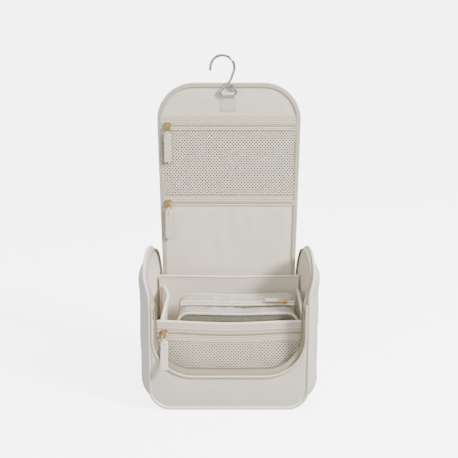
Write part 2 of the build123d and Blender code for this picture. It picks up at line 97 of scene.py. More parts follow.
class Material:
    """Principled material built node by node; constants are set on the shader's own sockets."""

    def __init__(self, name, **constants):
        self.data = bpy.data.materials.new(name)
        self.data.use_nodes = True
        self.tree = self.data.node_tree
        self.shader = self.tree.nodes["Principled BSDF"]
        for socket, value in constants.items():
            self.shader.inputs[socket.replace("_", " ")].default_value = value
        where = self.tree.nodes.new("ShaderNodeTexCoord")
        self.place = Value(self, where.outputs["Object"])
        self.axes = None

    def node(self, kind, settings, sockets, output=0):
        node = self.tree.nodes.new(kind)
        for setting, value in settings.items():
            setattr(node, setting, value)
        for socket, value in sockets.items():
            if isinstance(value, Value):
                self.tree.links.new(value.socket, node.inputs[socket])
            else:
                node.inputs[socket].default_value = value
        return Value(self, node.outputs[output])

    def link(self, socket, value):
        self.tree.links.new(value.socket, self.shader.inputs[socket])

    def axis(self, number):
        if self.axes is None:
            split = self.tree.nodes.new("ShaderNodeSeparateXYZ")
            self.tree.links.new(self.place.socket, split.inputs[0])
            self.axes = [Value(self, output) for output in split.outputs]
        return self.axes[number]

    def noise(self, scale, detail=3.0, roughness=0.5):
        return self.node("ShaderNodeTexNoise", {}, {
            "Vector": self.place, "Scale": scale, "Detail": detail, "Roughness": roughness
        })

    def tint(self, factor, first, second):
        """Base Color between two colours."""
        mixed = self.node("ShaderNodeMix", {"data_type": "RGBA"}, {
            0: factor, 6: (*first, 1.0), 7: (*second, 1.0)
        }, output=2)
        self.link("Base Color", mixed)

    def bump(self, height, distance, strength=1.0):
        bumped = self.node("ShaderNodeBump", {}, {
            "Height": height, "Distance": distance, "Strength": strength
        })
        self.link("Normal", bumped)


def shades(colour, spread):
    """The two ends of a soft variation round a colour."""
    return tuple(part * (1 - spread) for part in colour), tuple(part * (1 + spread) for part in colour)


def leather(name, colour, grain=0.00012, roughness=0.42):
    material = Material(name, Roughness=roughness, Coat_Weight=0.12, Coat_Roughness=0.35,
                        Sheen_Weight=0.12, Specular_IOR_Level=0.45)
    cells = material.node("ShaderNodeTexVoronoi", {"feature": "DISTANCE_TO_EDGE"}, {
        "Vector": material.place, "Scale": 900.0
    })
    fine = material.noise(1600.0, 2.0)
    broad = material.noise(14.0, 3.0)
    material.tint(broad * 0.8 + fine * 0.2, *shades(colour, 0.045))
    material.link("Roughness", broad * 0.12 + (roughness - 0.06))
    material.bump(cells * 0.7 + fine * 0.3, grain, 0.5)
    return material.data


def woven(name, colour, pitch=0.0006, depth=0.00008, roughness=0.62, sheen=0.25, spread=0.05):
    """Cloth with a plain weave, whose threads run along Z and across it."""
    material = Material(name, Roughness=roughness, Sheen_Weight=sheen, Sheen_Roughness=0.4,
                        Specular_IOR_Level=0.35)
    turn = 2 * math.pi / pitch
    warp = ((material.axis(0) + material.axis(1)) * turn).sine()
    weft = (material.axis(2) * turn).sine()
    broad = material.noise(22.0, 3.0)
    fine = material.noise(1300.0, 2.0)
    material.tint(broad * 0.6 + fine * 0.4, *shades(colour, spread))
    material.bump(warp * weft * 0.5 + fine * 0.6, depth, 0.6)
    return material.data


def metal(name, colour, roughness):
    material = Material(name, Metallic=1.0, Roughness=roughness)
    material.tint(material.noise(120.0, 2.0), *shades(colour, 0.03))
    material.link("Roughness", material.noise(300.0, 2.0) * 0.1 + (roughness - 0.05))
    return material.data


def clear_film(name, dark, light, least):
    """Clear film whose creases carry a painted highlight: colour and alpha rise with the crease noise; least
    is its lowest alpha.
    """
    material = Material(name, Roughness=0.12, Coat_Weight=0.5, Coat_Roughness=0.06, Alpha=least,
                        Specular_IOR_Level=0.7)
    crease = material.noise(38.0, 4.0, 0.6)
    # Painted highlight: Base Color runs from the dark to the light colour with the crease noise, so the
    # creases look lit.
    material.tint(crease, dark, light)
    material.link("Alpha", crease * 0.3 + (least - 0.15))
    material.bump(crease, 0.002, 0.5)
    return material.data


OUTER = leather("outer_leather", (0.72, 0.655, 0.56))
PIPING = leather("piping_leather", (0.72, 0.675, 0.605), roughness=0.38)
TAB = leather("tab_leather", (0.62, 0.56, 0.46), grain=0.00016)
EDGE_BEAD = leather("edge_bead", (0.76, 0.725, 0.67), roughness=0.4)
LINING = woven("lining_satin", (0.7, 0.63, 0.52), roughness=0.45)
POCKET = woven("pocket_satin", (0.71, 0.64, 0.53), roughness=0.4, depth=0.00005)
# Painted shade: this near-black backing stands in for the shade inside the mesh pockets, seen through the
# holes.
SHADE = woven("painted_shade_backing", (0.11, 0.09, 0.06))
LID_EDGE = woven("lid_edge_binding", (0.5, 0.47, 0.36), pitch=0.0009, roughness=0.5)
EDGING = woven("edge_tape", (0.44, 0.41, 0.31), pitch=0.0009)
TAN = woven("tan_tape", (0.43, 0.385, 0.28), pitch=0.0009)
RIM = woven("rim_binding", (0.64, 0.575, 0.455), pitch=0.0008)
ZIP = woven("zip_tape", (0.62, 0.555, 0.425), pitch=0.0008)
MESH = woven("mesh_yarn", (0.72, 0.65, 0.52), pitch=0.0004)
COIL = woven("zip_coil", (0.16, 0.135, 0.08), pitch=0.0005, roughness=0.4)
PALE_COIL = woven("pale_coil", (0.28, 0.245, 0.165), pitch=0.0005, roughness=0.4)
THREAD = woven("thread", (0.78, 0.75, 0.69), pitch=0.0004)
SEAM_THREAD = woven("seam_thread", (0.42, 0.38, 0.3), pitch=0.0004)
BINDING = woven("pouch_binding", (0.62, 0.56, 0.45), pitch=0.0008)
BOARD = woven("base_board", (0.4, 0.38, 0.34), pitch=0.001)
GOLD = metal("pale_gold", (0.7, 0.5, 0.22), 0.24)
CHROME = metal("chrome", (0.5, 0.5, 0.52), 0.16)
# Painted highlight: the near-white end of this film's colour stands in for light caught by its creases.
FILM = clear_film("clear_film", (0.5, 0.47, 0.4), (0.95, 0.93, 0.9), 0.4)
# Painted shade: a dark, more opaque copy of the clear film for the pouch's front face.
PAINTED_SHADE_FILM = clear_film("painted_shade_film", (0.15, 0.13, 0.095), (0.22, 0.2, 0.155), 0.7)

# ---- meshes ----------------------------------------------------------------------------------


def make(name, vertices, faces, material, body=None, nodes=(), slot=None, crease=42):
    """Smooth-shaded object from vertices in millimetres."""
    mesh = bpy.data.meshes.new(name)
    mesh.from_pydata([tuple(vertex) for vertex in np.asarray(vertices, float) * MM], [], faces)
    mesh.validate()
    mesh.polygons.foreach_set("use_smooth", [True] * len(mesh.polygons))
    mesh.set_sharp_from_angle(angle=math.radians(crease))
    mesh.materials.append(material)
    piece = bpy.data.objects.new(name, mesh)
    bpy.context.scene.collection.objects.link(piece)
    return settle(piece, body, nodes)


def settle(piece, body=None, nodes=()):
    if body:
        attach(piece, body)
    if nodes:
        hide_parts(*nodes)
    return piece


def grid_faces(rows, columns, start=0, flip=False, wrap=False):
    faces = []
    for row in range(rows - 1):
        for column in range(columns if wrap else columns - 1):
            after = (column + 1) % columns
            corners = (row * columns + column, row * columns + after,
                       (row + 1) * columns + after, (row + 1) * columns + column)
            corners = tuple(start + corner for corner in corners)
            faces.append(corners[::-1] if flip else corners)
    return faces


def grid_normals(grid):
    normals = np.cross(np.gradient(grid, axis=1), np.gradient(grid, axis=0))
    lengths = np.linalg.norm(normals, axis=2, keepdims=True)
    return normals / np.maximum(lengths, 1e-9)


def slab_parts(grid, thickness, flip=False):
    """Closed layer whose outer face is the grid; its thickness goes in from there."""
    rows, columns = grid.shape[:2]
    normals = grid_normals(grid) * (-1 if flip else 1)
    inner = grid - normals * thickness
    count = rows * columns
    faces = grid_faces(rows, columns, 0, flip) + grid_faces(rows, columns, count, not flip)
    edge = [column for column in range(columns - 1)]
    edge += [row * columns + columns - 1 for row in range(rows - 1)]
    edge += [(rows - 1) * columns + column for column in range(columns - 1, 0, -1)]
    edge += [row * columns for row in range(rows - 1, 0, -1)]
    for here, there in zip(edge, edge[1:] + edge[:1]):
        face = (there, here, here + count, there + count)
        faces.append(face[::-1] if flip else face)
    return np.concatenate([grid.reshape(-1, 3), inner.reshape(-1, 3)]), faces


def cloth(name, grid, thickness, material, body=None, nodes=(), slot=None, flip=False):
    vertices, faces = slab_parts(grid, thickness, flip)
    return make(name, vertices, faces, material, body, nodes, slot)


def resample(points, step):
    """Points a step apart along a polyline."""
    points = np.asarray(points, float)
    lengths = np.concatenate([[0], np.cumsum(np.linalg.norm(np.diff(points, axis=0), axis=1))])
    count = max(2, int(round(lengths[-1] / step)) + 1)
    at = np.linspace(0, lengths[-1], count)
    return np.stack([np.interp(at, lengths, points[:, axis]) for axis in range(points.shape[1])], axis=1)


def rounded(points, radius, step=2.0):
    """Polyline in a plane with rounded corners, sampled evenly."""
    points = [np.array(point, float) for point in points]
    radii = [radius] * len(points) if np.isscalar(radius) else [0, *radius, 0]
    line = [points[0]]
    for index in range(1, len(points) - 1):
        before, corner, after = points[index - 1:index + 2]
        one = (before - corner) / np.linalg.norm(before - corner)
        two = (after - corner) / np.linalg.norm(after - corner)
        half = math.acos(max(-1, min(1, float(one @ two)))) / 2
        reach = radii[index] / math.tan(half)
        middle = corner + (one + two) / np.linalg.norm(one + two) * radii[index] / math.sin(half)
        start, end = corner + one * reach - middle, corner + two * reach - middle
        sweep = math.pi - 2 * half
        for part in np.linspace(0, 1, 17):
            turned = (start * math.sin((1 - part) * sweep) + end * math.sin(part * sweep)) / math.sin(sweep)
            line.append(middle + turned)
    line.append(points[-1])
    return resample(line, step)


def sweep_parts(path, section, up, start=0, closed=False):
    """Section (across, up) carried along a path; across lies to the path's right of up."""
    path = np.asarray(path, float)
    ways = np.gradient(path, axis=0)
    if closed:
        ways = np.roll(path, -1, axis=0) - np.roll(path, 1, axis=0)
    ways /= np.linalg.norm(ways, axis=1, keepdims=True)
    lift = np.broadcast_to(np.asarray(up, float), path.shape)
    lift = lift - (lift * ways).sum(1, keepdims=True) * ways
    lift = lift / np.linalg.norm(lift, axis=1, keepdims=True)
    across = np.cross(ways, lift)
    section = np.asarray(section, float)
    rings = path[:, None] + across[:, None] * section[None, :, :1] + lift[:, None] * section[None, :, 1:]
    count = len(section)
    faces = grid_faces(len(path), count, start, wrap=True, flip=True)
    if closed:
        last = start + (len(path) - 1) * count
        faces += [(last + (k + 1) % count, last + k, start + k, start + (k + 1) % count)[::-1]
                  for k in range(count)]
    else:
        faces.append(tuple(range(start, start + count)))
        end = start + (len(path) - 1) * count
        faces.append(tuple(range(end + count - 1, end - 1, -1)))
    return rings.reshape(-1, 3), faces


def oval(across, up, sides=12, shift=(0, 0)):
    turns = np.linspace(0, 2 * math.pi, sides, endpoint=False)
    return np.stack([shift[0] + across * np.cos(turns), shift[1] + up * np.sin(turns)], axis=1)


def transported(path):
    """An up direction for each point of a path, carried along without twisting."""
    ways = np.gradient(path, axis=0)
    ways /= np.linalg.norm(ways, axis=1, keepdims=True)
    up = np.cross(ways[0], (0.3, 0.8, 0.2))
    lifts = []
    for way in ways:
        up = up - (up @ way) * way
        up = up / np.linalg.norm(up)
        lifts.append(up.copy())
    return np.array(lifts)


def tube_parts(path, radius, sides=12, start=0):
    return sweep_parts(path, oval(radius, radius, sides), transported(np.asarray(path, float)), start)


def joined(parts):
    """Several (vertices, faces) as one."""
    vertices, faces = [], []
    for some, more in parts:
        shift = sum(len(part) for part in vertices)
        vertices.append(np.asarray(some, float))
        faces += [tuple(index + shift for index in face) for face in more]
    return np.concatenate(vertices), faces


def wave(x, z, scale, seed=0.0):
    """Smooth noise between -1 and 1, for sags and wrinkles."""
    return noise.noise(Vector((x * scale + seed, z * scale - seed, seed * 0.37)))


# ---- repeated shapes -------------------------------------------------------------------------


def copies_tree():
    """Node group that sets a shape on each point, turned to its along and facing directions."""
    tree = bpy.data.node_groups.new("set_copies", "GeometryNodeTree")
    interface = tree.interface
    interface.new_socket("Geometry", in_out="INPUT", socket_type="NodeSocketGeometry")
    interface.new_socket("Shape", in_out="INPUT", socket_type="NodeSocketObject")
    interface.new_socket("Material", in_out="INPUT", socket_type="NodeSocketMaterial")
    interface.new_socket("Geometry", in_out="OUTPUT", socket_type="NodeSocketGeometry")
    nodes, links = tree.nodes, tree.links
    entry = nodes.new("NodeGroupInput")
    leave = nodes.new("NodeGroupOutput")
    shape = nodes.new("GeometryNodeObjectInfo")
    links.new(entry.outputs["Shape"], shape.inputs["Object"])
    turn = None
    for axis, attribute in (("X", "along"), ("Z", "facing")):
        direction = nodes.new("GeometryNodeInputNamedAttribute")
        direction.data_type = "FLOAT_VECTOR"
        direction.inputs["Name"].default_value = attribute
        align = nodes.new("FunctionNodeAlignRotationToVector")
        align.axis = axis
        align.pivot_axis = "AUTO" if axis == "X" else "X"
        links.new(direction.outputs[0], align.inputs["Vector"])
        if turn:
            links.new(turn.outputs[0], align.inputs["Rotation"])
        turn = align
    instance = nodes.new("GeometryNodeInstanceOnPoints")
    links.new(entry.outputs["Geometry"], instance.inputs["Points"])
    links.new(shape.outputs["Geometry"], instance.inputs["Instance"])
    links.new(turn.outputs[0], instance.inputs["Rotation"])
    real = nodes.new("GeometryNodeRealizeInstances")
    paint = nodes.new("GeometryNodeSetMaterial")
    links.new(instance.outputs[0], real.inputs[0])
    links.new(real.outputs[0], paint.inputs["Geometry"])
    links.new(entry.outputs["Material"], paint.inputs["Material"])
    links.new(paint.outputs[0], leave.inputs[0])
    return tree


COPIES = copies_tree()
COPY_SOCKETS = {item.name: item.identifier for item in COPIES.interface.items_tree if item.in_out == "INPUT"}


def copies(name, shape, points, along, facing, material, body=None, nodes=()):
    """A copy of the shape on each point, as one mesh."""
    if not len(points):
        return None
    mesh = bpy.data.meshes.new(name + "_points")
    mesh.from_pydata([tuple(point) for point in np.asarray(points, float) * MM], [], [])
    for attribute, values in (("along", along), ("facing", facing)):
        values = np.broadcast_to(np.asarray(values, float), np.shape(points))
        layer = mesh.attributes.new(attribute, "FLOAT_VECTOR", "POINT")
        layer.data.foreach_set("vector", np.ascontiguousarray(values, np.float32).ravel())
    holder = bpy.data.objects.new(name + "_points", mesh)
    bpy.context.scene.collection.objects.link(holder)
    modifier = holder.modifiers.new("copies", "NODES")
    modifier.node_group = COPIES
    modifier[COPY_SOCKETS["Shape"]] = shape
    modifier[COPY_SOCKETS["Material"]] = material
    bpy.context.view_layer.update()
    graph = bpy.context.evaluated_depsgraph_get()
    baked = bpy.data.meshes.new_from_object(holder.evaluated_get(graph))
    baked.name = name
    bpy.data.objects.remove(holder)
    piece = bpy.data.objects.new(name, baked)
    bpy.context.scene.collection.objects.link(piece)
    return settle(piece, body, nodes)


def pattern(name, vertices, faces):
    """Shape to be copied; it isn't shown itself."""
    mesh = bpy.data.meshes.new(name)
    mesh.from_pydata([tuple(vertex) for vertex in np.asarray(vertices, float) * MM], [], faces)
    mesh.polygons.foreach_set("use_smooth", [True] * len(mesh.polygons))
    return bpy.data.objects.new(name, mesh)


def pill(length, width, height):
    """Short stitch that lies along X and stands proud along Z."""
    rings = ((-0.5, 0.25), (-0.38, 0.8), (0, 1), (0.38, 0.8), (0.5, 0.25))
    turns = np.linspace(0, 2 * math.pi, 6, endpoint=False)
    vertices = [
        (along * length, size * width / 2 * math.cos(turn), size * height * math.sin(turn))
        for along, size in rings for turn in turns
    ]
    faces = grid_faces(len(rings), 6, wrap=True, flip=True)
    faces += [tuple(range(6)), tuple(range(29, 23, -1))]
    return vertices, faces


def mesh_cell(pitch, row, hole, height):
    """One hole of the knitted mesh with its share of the yarn round it."""
    corner_x, reach = pitch / 2, (pitch ** 2 / 4 + row ** 2) / 2
    corner_z, tip = (reach - pitch ** 2 / 4) / row, reach / row
    outline = [(corner_x, corner_z), (0, tip), (-corner_x, corner_z),
               (-corner_x, -corner_z), (0, -tip), (corner_x, -corner_z)]
    outer = []
    for index, here in enumerate(outline):
        there = outline[(index + 1) % 6]
        parts = (0, 1 / 2) if index not in (2, 5) else (0,)
        outer += [tuple(a + (b - a) * part for a, b in zip(here, there)) for part in parts]
    count = len(outer)
    vertices = [(x, z, height * 0.55) for x, z in outer]
    for scale, lift in ((1.3, 1.0), (1.0, 0.25)):
        for x, z in outer:
            length = math.hypot(x / 1.12, z)
            vertices.append((x / length * hole * scale, z / length * hole * scale, height * lift))
    return vertices, grid_faces(3, count, wrap=True)


STITCH = pattern("stitch", *pill(2.3, 0.6, 0.32))
SMALL_STITCH = pattern("small_stitch", *pill(1.5, 0.45, 0.25))
TOOTH = pattern("tooth", *pill(2.6, 0.8, 0.65))
FINE_TOOTH = pattern("fine_tooth", *pill(2.2, 0.62, 0.5))
CELL = pattern("mesh_cell", *mesh_cell(4.1, 2.3, 0.93, 0.34))


def directions(points):
    ways = np.gradient(np.asarray(points, float), axis=0)
    return ways / np.maximum(np.linalg.norm(ways, axis=1, keepdims=True), 1e-9)


def stitch_line(name, line, facing, body, material=THREAD, spacing=3.2, shape=STITCH):
    points = resample(line, spacing)
    return copies(name, shape, points, directions(points), facing, material, body)

# ---- places, in millimetres ------------------------------------------------------------------

front_low, front_high = box("front_panel")
back_low, back_high = box("back_panel")
left_low = box("gusset_left")[0]
end_high = box("lid_shell_4")[1]
rim_low, rim_high = box("opening_rim")

HINGE = float(front_high[2])
FRONT_HALF = float(front_high[0])
BACK_HALF = float(back_high[0])
BULGE = float(-left_low[0])
FRONT = float(front_high[1]) + 0.3
BACK = -FRONT
ARCH = HINGE + 1.0
CORNER = 26.0
OPENING_HALF = float(rim_high[0]) - 2.2
OPENING_FLOOR = float(rim_low[2]) + 2.2
OPENING_CORNER = 50.0
LID_TOP = float(end_high[2])
LID_BACK = float(end_high[1])
LID_FRONT = LID_BACK - 5.0
LID_END_HALF = float(end_high[0])
LID_HINGE_HALF = LID_END_HALF - 5.2
LID_CORNER = 48.0
FOLDS = [float(box(f"lid_rim_{number}")[1][2]) + 0.3 for number in (1, 2, 3)]

# ---- outer body ------------------------------------------------------------------------------


def body_half(y, z):
    """Half width of the body, which bulges at mid depth and flares at the ears' front edges."""
    part = y / BACK
    middle = (FRONT_HALF + BACK_HALF + 2) / 2
    taper = (FRONT_HALF - BACK_HALF - 2) / 2
    base = BULGE - (BULGE - middle) * part ** 2 - taper * part
    if z < HINGE:
        return base
    low_edge = (FRONT_HALF + BACK_HALF + 2) / 2 - (FRONT_HALF - BACK_HALF - 2) / 2 * part
    rise = min(1.0, (z - HINGE) / 34)
    rise = rise * rise * (3 - 2 * rise)
    edge = low_edge * (1 - rise) + (101.5 - 6.5 * part) * rise
    reach = math.sqrt(max(1.0, BACK ** 2 - max(0.0, z - ARCH) ** 2))
    fall = math.cos(math.pi / 2 * min(1.0, (z - HINGE) / (BACK + 1)))
    return edge + (BULGE - (FRONT_HALF + BACK_HALF + 2) / 2) * fall * max(0.0, 1 - (y / reach) ** 2)


def floor_height(y):
    return max(0.0, -0.6 + 4.4 * (y / BACK) ** 2)


def wall_line(y, drawn_in, side_steps):
    """Half of the body's section at depth y, from the middle of the base up to a height."""
    points = []
    half = body_half(y, 60) - drawn_in
    low = floor_height(y) + drawn_in
    bend = CORNER - drawn_in
    for part in np.linspace(0, 1, 14)[:-1]:
        points.append((part * (half - bend), low))
    for turn in np.linspace(0, math.pi / 2, 12):
        points.append((half - bend + bend * math.sin(turn), low + bend - bend * math.cos(turn)))
    start = low + bend
    for part in np.linspace(0, 1, side_steps)[1:]:
        height = start + (HINGE - start) * part
        points.append((body_half(y, height) - drawn_in, height))
    return points


def body_grid(drawn_in, columns=25, trim=0.0, soft=1.0):
    """The wrap of the body from one ear's crown round the base to the other's; rows run front to back."""
    turns = np.linspace(-math.pi / 2, math.pi / 2, columns) * 0.96
    depths = BACK * np.sin(turns) / math.sin(math.pi / 2 * 0.96)
    half_rows = []
    low_part = [wall_line(y * (BACK - trim) / BACK, drawn_in, 24) for y in depths]
    for index in range(len(low_part[0])):
        half_rows.append([(low_part[k][index][0], depths[k] * (BACK - trim) / BACK, low_part[k][index][1])
                          for k in range(columns)])
    for turn in np.linspace(0, 88.5, 22)[1:]:
        height = ARCH + (BACK - trim) * math.sin(math.radians(turn))
        reach = (BACK - trim) * math.cos(math.radians(turn))
        row = []
        for y in depths:
            depth = y / BACK * reach
            row.append((body_half(depth, height) - drawn_in, depth, height))
        half_rows.append(row)
    right = np.array(half_rows)
    left = right.copy()
    left[:, :, 0] *= -1
    grid = np.concatenate([left[:0:-1], right])
    for row in range(grid.shape[0]):
        for column in range(columns):
            x, y, z = grid[row, column]
            edge = min(1.0, (1 - abs(y) / max(1.0, BACK)) * 4)
            dent = wave(y + (40 if x > 0 else 0), z, 0.021, 3.1) * 1.5 + wave(y, z, 0.055, 8.4) * 0.5
            if abs(x) > 70:
                grid[row, column, 0] += math.copysign(dent * soft * edge, x) - math.copysign(0.6 * edge, x)
    return grid


wrap = body_grid(0.0)
cloth("body_wrap", wrap, 1.4, OUTER, "bag", ("gusset_left", "gusset_right", "base_panel"), "outer")
cloth("body_lining", body_grid(3.2, trim=1.2), 0.6, LINING, "bag", ("liner_left", "liner_right"), "lining",
      flip=True)


def u_line(half, top, floor, corner, step=2.0):
    return rounded([(-half, top), (-half, floor), (half, floor), (half, top)], corner, step)


def spread(line, count):
    """A line of points in two dimensions, set out again as count points."""
    old, new = np.linspace(0, 1, len(line)), np.linspace(0, 1, count)
    return np.stack([np.interp(new, old, line[:, k]) for k in (0, 1)], 1)


def between(outer, inner, rows, count, depth, puff, seed=0.0):
    """Grid between two U lines, standing out to the front by puff in the middle."""
    outer = spread(outer, count)
    inner = spread(inner, count)
    grid = np.zeros((rows, count, 3))
    for row, part in enumerate(np.linspace(0, 1, rows)):
        flat = outer + (inner - outer) * part
        swell = math.sin(math.pi * part) ** 0.7 if 0 < part < 1 else 0
        for column, (x, z) in enumerate(flat):
            ripple = wave(x, z, 0.03, seed) * 0.5 * swell
            grid[row, column] = (x, depth - puff * swell + ripple, z)
    return grid


outer_u = u_line(FRONT_HALF, HINGE, front_low[2], 24)
inner_u = u_line(OPENING_HALF, HINGE, OPENING_FLOOR, OPENING_CORNER)
cloth("front_face", between(outer_u, inner_u, 14, 150, -55.6, 1.1, 2.0), 1.3, OUTER, "bag",
      ("front_panel",), "outer")


def back_face():
    columns = np.sin(np.linspace(-math.pi / 2, math.pi / 2, 49)) * BACK_HALF
    rows = np.linspace(0, 1, 26)
    grid = np.zeros((len(rows), len(columns), 3))
    for i, part in enumerate(rows):
        for j, x in enumerate(columns):
            reach = max(0.0, abs(x) - (BACK_HALF - 24))
            low = back_low[2] + 24 - math.sqrt(max(0.0, 24 ** 2 - reach ** 2))
            z = low + (back_high[2] - low) * part
            swell = (1 - (x / BACK_HALF) ** 2) * math.sin(math.pi * part)
            grid[i, j] = (x, 56.4 + 1.4 * swell + wave(x, z, 0.025, 5.0) * 0.5 * swell, z)
    return grid


cloth("back_face", back_face(), 1.8, OUTER, "bag", ("back_panel",), "outer", flip=True)

# piping along the front edge, over each ear and down to the hinge, and round the back panel


def ear_line(out, reach):
    """Edge of the right ear from front to back: out beyond the wall and reach beyond the arch."""
    points = [(body_half(-BACK, z) + out, -BACK - reach, z) for z in (ARCH - 8, ARCH - 4)]
    for turn in np.linspace(0, 180, 61):
        angle = math.radians(turn)
        y, z = -BACK * math.cos(angle), ARCH + BACK * math.sin(angle)
        points.append((body_half(y, z) + out, -(BACK + reach) * math.cos(angle),
                       ARCH + (BACK + reach) * math.sin(angle)))
    return np.array(points)


def front_piping_line():
    flat = u_line(FRONT_HALF + 1.9, ARCH, 1.9, 25.9)
    low = np.stack([flat[:, 0], np.full(len(flat), -56.1), flat[:, 1]], axis=1)
    ear = ear_line(1.0, 2.1)[2:]
    blend = np.linspace(1, 0, len(ear))[:, None] ** 6
    straight_edge = np.array([[FRONT_HALF + 1.9, 0, 0]]) * [[1, 0, 0]]
    right = ear * (1 - blend) + blend * straight_edge + blend * ear * [[0, 1, 1]]
    left = right[::-1] * [[-1, 1, 1]]
    return resample(np.concatenate([left[:-1], low, right[1:]]), 2.2)


piping_line = front_piping_line()
make("front_piping_cord", *tube_parts(piping_line, 1.75, 12), PIPING, "bag", ("front_piping",), "piping")
back_line = u_line(BACK_HALF + 1.9, back_high[2], 1.9, 25.9)
back_line = np.stack([back_line[:, 0], np.full(len(back_line), 56.1), back_line[:, 1]], axis=1)
make("back_piping_cord", *tube_parts(back_line, 1.75, 12), PIPING, "bag", ("back_piping",), "piping")
base_low, base_high = box("base_board")


def rounded_plate(low, high, corner, step=3.0):
    """Level plate with round corners."""
    x, y = high[0], high[1]
    ring = rounded([(0, -y), (x, -y), (x, y), (-x, y), (-x, -y), (0, -y)], corner, step)[:-1]
    count = len(ring)
    vertices = [(px, py, low[2]) for px, py in ring] + [(px, py, high[2]) for px, py in ring]
    faces = [(k, (k + 1) % count, count + (k + 1) % count, count + k) for k in range(count)]
    faces += [tuple(range(count - 1, -1, -1)), tuple(range(count, 2 * count))]
    return vertices, faces


make("board", *rounded_plate(base_low, base_high, 8), BOARD, "bag", ("base_board",), "board")

# ---- zips over the ears and round the opening ------------------------------------------------

for side, name in ((-1, "left"), (1, "right")):
    mirror = np.array([side, 1, 1])
    outer_edge = ear_line(-0.4, 0.5) * mirror
    inner_edge = ear_line(-5.2, -0.9) * mirror
    strip = np.stack([outer_edge, (outer_edge + inner_edge) / 2 + [0, 0, 0.3], inner_edge])
    cloth(f"ear_tape_{name}", strip, 0.6, TAN, "bag", (f"ear_zip_{name}",), "zip_tape", flip=side > 0)
    coil = resample(ear_line(-4.9, -0.6) * mirror, 1.5)
    outward = coil - np.array([0, 0, ARCH]) - [1, 0, 0] * coil
    across = np.cross(directions(coil), outward / np.linalg.norm(outward, axis=1, keepdims=True))
    tilt = across + directions(coil) * 0.45
    copies(f"ear_coil_{name}", TOOTH, coil, tilt, [-side, 0, 0.25], COIL, "bag")

rim_line = u_line(OPENING_HALF + 1.1, HINGE, OPENING_FLOOR - 1.1, OPENING_CORNER + 1.1)
rim_path = np.stack([rim_line[:, 0], np.full(len(rim_line), -57.0), rim_line[:, 1]], axis=1)
make("opening_binding", *sweep_parts(rim_path, oval(1.5, 1.15, 12), (0, 1, 0)), RIM, "bag",
     ("opening_rim",), "edging")
tape_outer = u_line(93.9, HINGE, 42, 50)
tape_inner = u_line(90.4, HINGE, 55.0, 46)
cloth("opening_zip_tape", between(tape_outer, tape_inner, 6, 130, -51.5, 0.2), 0.7, TAN, "bag",
      ("opening_tape",), "zip_tape")
tape_mid = resample(u_line(90.7, HINGE - 1, 54.4, 46), 1.5)
coil = np.stack([tape_mid[:, 0], np.full(len(tape_mid), -51.55), tape_mid[:, 1]], axis=1)
inward = np.cross(directions(coil), (0, 1, 0))
copies("opening_coil", TOOTH, coil, inward + directions(coil) * 0.45, (0, -1, 0), COIL, "bag")
seam = u_line(OPENING_HALF + 3.6, HINGE - 2, OPENING_FLOOR - 3.8, OPENING_CORNER + 3.6)
seam = np.stack([seam[:, 0], np.full(len(seam), -56.7), seam[:, 1]], axis=1)
low_seam = seam[seam[:, 2] < 60]
stitch_line("opening_seam", low_seam, (0, -1, 0), "bag")
back_seam = u_line(BACK_HALF - 4, back_high[2] - 3, back_low[2] + 4, 20)
back_seam = np.stack([back_seam[:, 0], np.full(len(back_seam), 56.9), back_seam[:, 1]], axis=1)
stitch_line("back_seam", back_seam, (0, 1, 0), "bag")

# ---- linings and inner pockets ---------------------------------------------------------------


POCKET_FLOOR = 9  # lowest height of the linings and pockets


def panel(low, high, reach, y_at, columns=61, rows=31):
    """Upright cloth between two heights; reach(z) is its half width and y_at(x, z) its depth."""
    grid = np.zeros((rows, columns, 3))
    across = np.sin(np.linspace(-math.pi / 2, math.pi / 2, columns))
    for i, part in enumerate(np.linspace(0, 1, rows)):
        for j, share in enumerate(across):
            z = low + (high(share) - low) * part if callable(high) else low + (high - low) * part
            x = share * reach(z)
            grid[i, j] = (x, y_at(x, z), z)
    return grid


def hem(name, points, half_height, half_depth, material, body, up=(0, 1, 0), nodes=(), slot="lining"):
    """Folded edge along a pocket's top."""
    return make(name, *sweep_parts(points, oval(half_height, half_depth, 10), up), material, body, nodes,
                slot)


cloth("back_lining", panel(POCKET_FLOOR, 139, lambda z: min(body_half(50, z), 92) - 3.4,
                           lambda x, z: 52.9 + wave(x, z, 0.03) * 0.3),
      0.5, LINING, "bag", ("liner_back",), "lining")
slip_high = box("back_slip_pocket")[1]


def slip_depth(x, z):
    up = max(0.0, (z - 60) / 87)
    return 44.6 - 1.6 * up ** 2 * math.cos(x / 62) ** 2 + wave(x, z, 0.022, 4.0) * 1.4 * up


slip_top = lambda share: slip_high[2] - 1.2 + 0.8 * share ** 2
slip = panel(POCKET_FLOOR, slip_top, lambda z: min(body_half(44, min(z, 139)), 96) - 3.6, slip_depth)
cloth("back_pocket", slip, 0.8, POCKET, "bag", ("back_slip_pocket",), "lining")
edge = resample(slip[-1], 2.5)
hem("back_pocket_hem", edge - [0, 0.1, 0.4], 1.5, 0.9, EDGE_BEAD, "bag")
stitch_line("back_pocket_stitches", edge - [0, 0.5, 3.6], (0, -1, 0.1), "bag")


def side_sheet(side, wall, sag, back, top, droop, front_top, columns=31, rows=25):
    """Pocket front that bows in from a side wall; rows run from its foot up to its top edge."""
    grid = np.zeros((rows, columns, 3))
    for i, part in enumerate(np.linspace(0, 1, rows)):
        for j, along in enumerate(np.linspace(0, 1, columns)):
            y = -33.8 + along * 77.3
            bow = math.sin(math.pi * along)
            fall = max(0.0, 1 - along / 0.45) ** 1.6
            z = 9 + (top - droop * bow - (top - front_top) * fall - 9) * part
            straight = wall + (back - wall) * along
            slack = (straight - sag) * bow * (0.45 + 0.55 * part ** 2)
            x = straight - slack + wave(y, z, 0.04, 6.0) * 0.7 * part
            grid[i, j] = (side * x, y, z)
    return grid


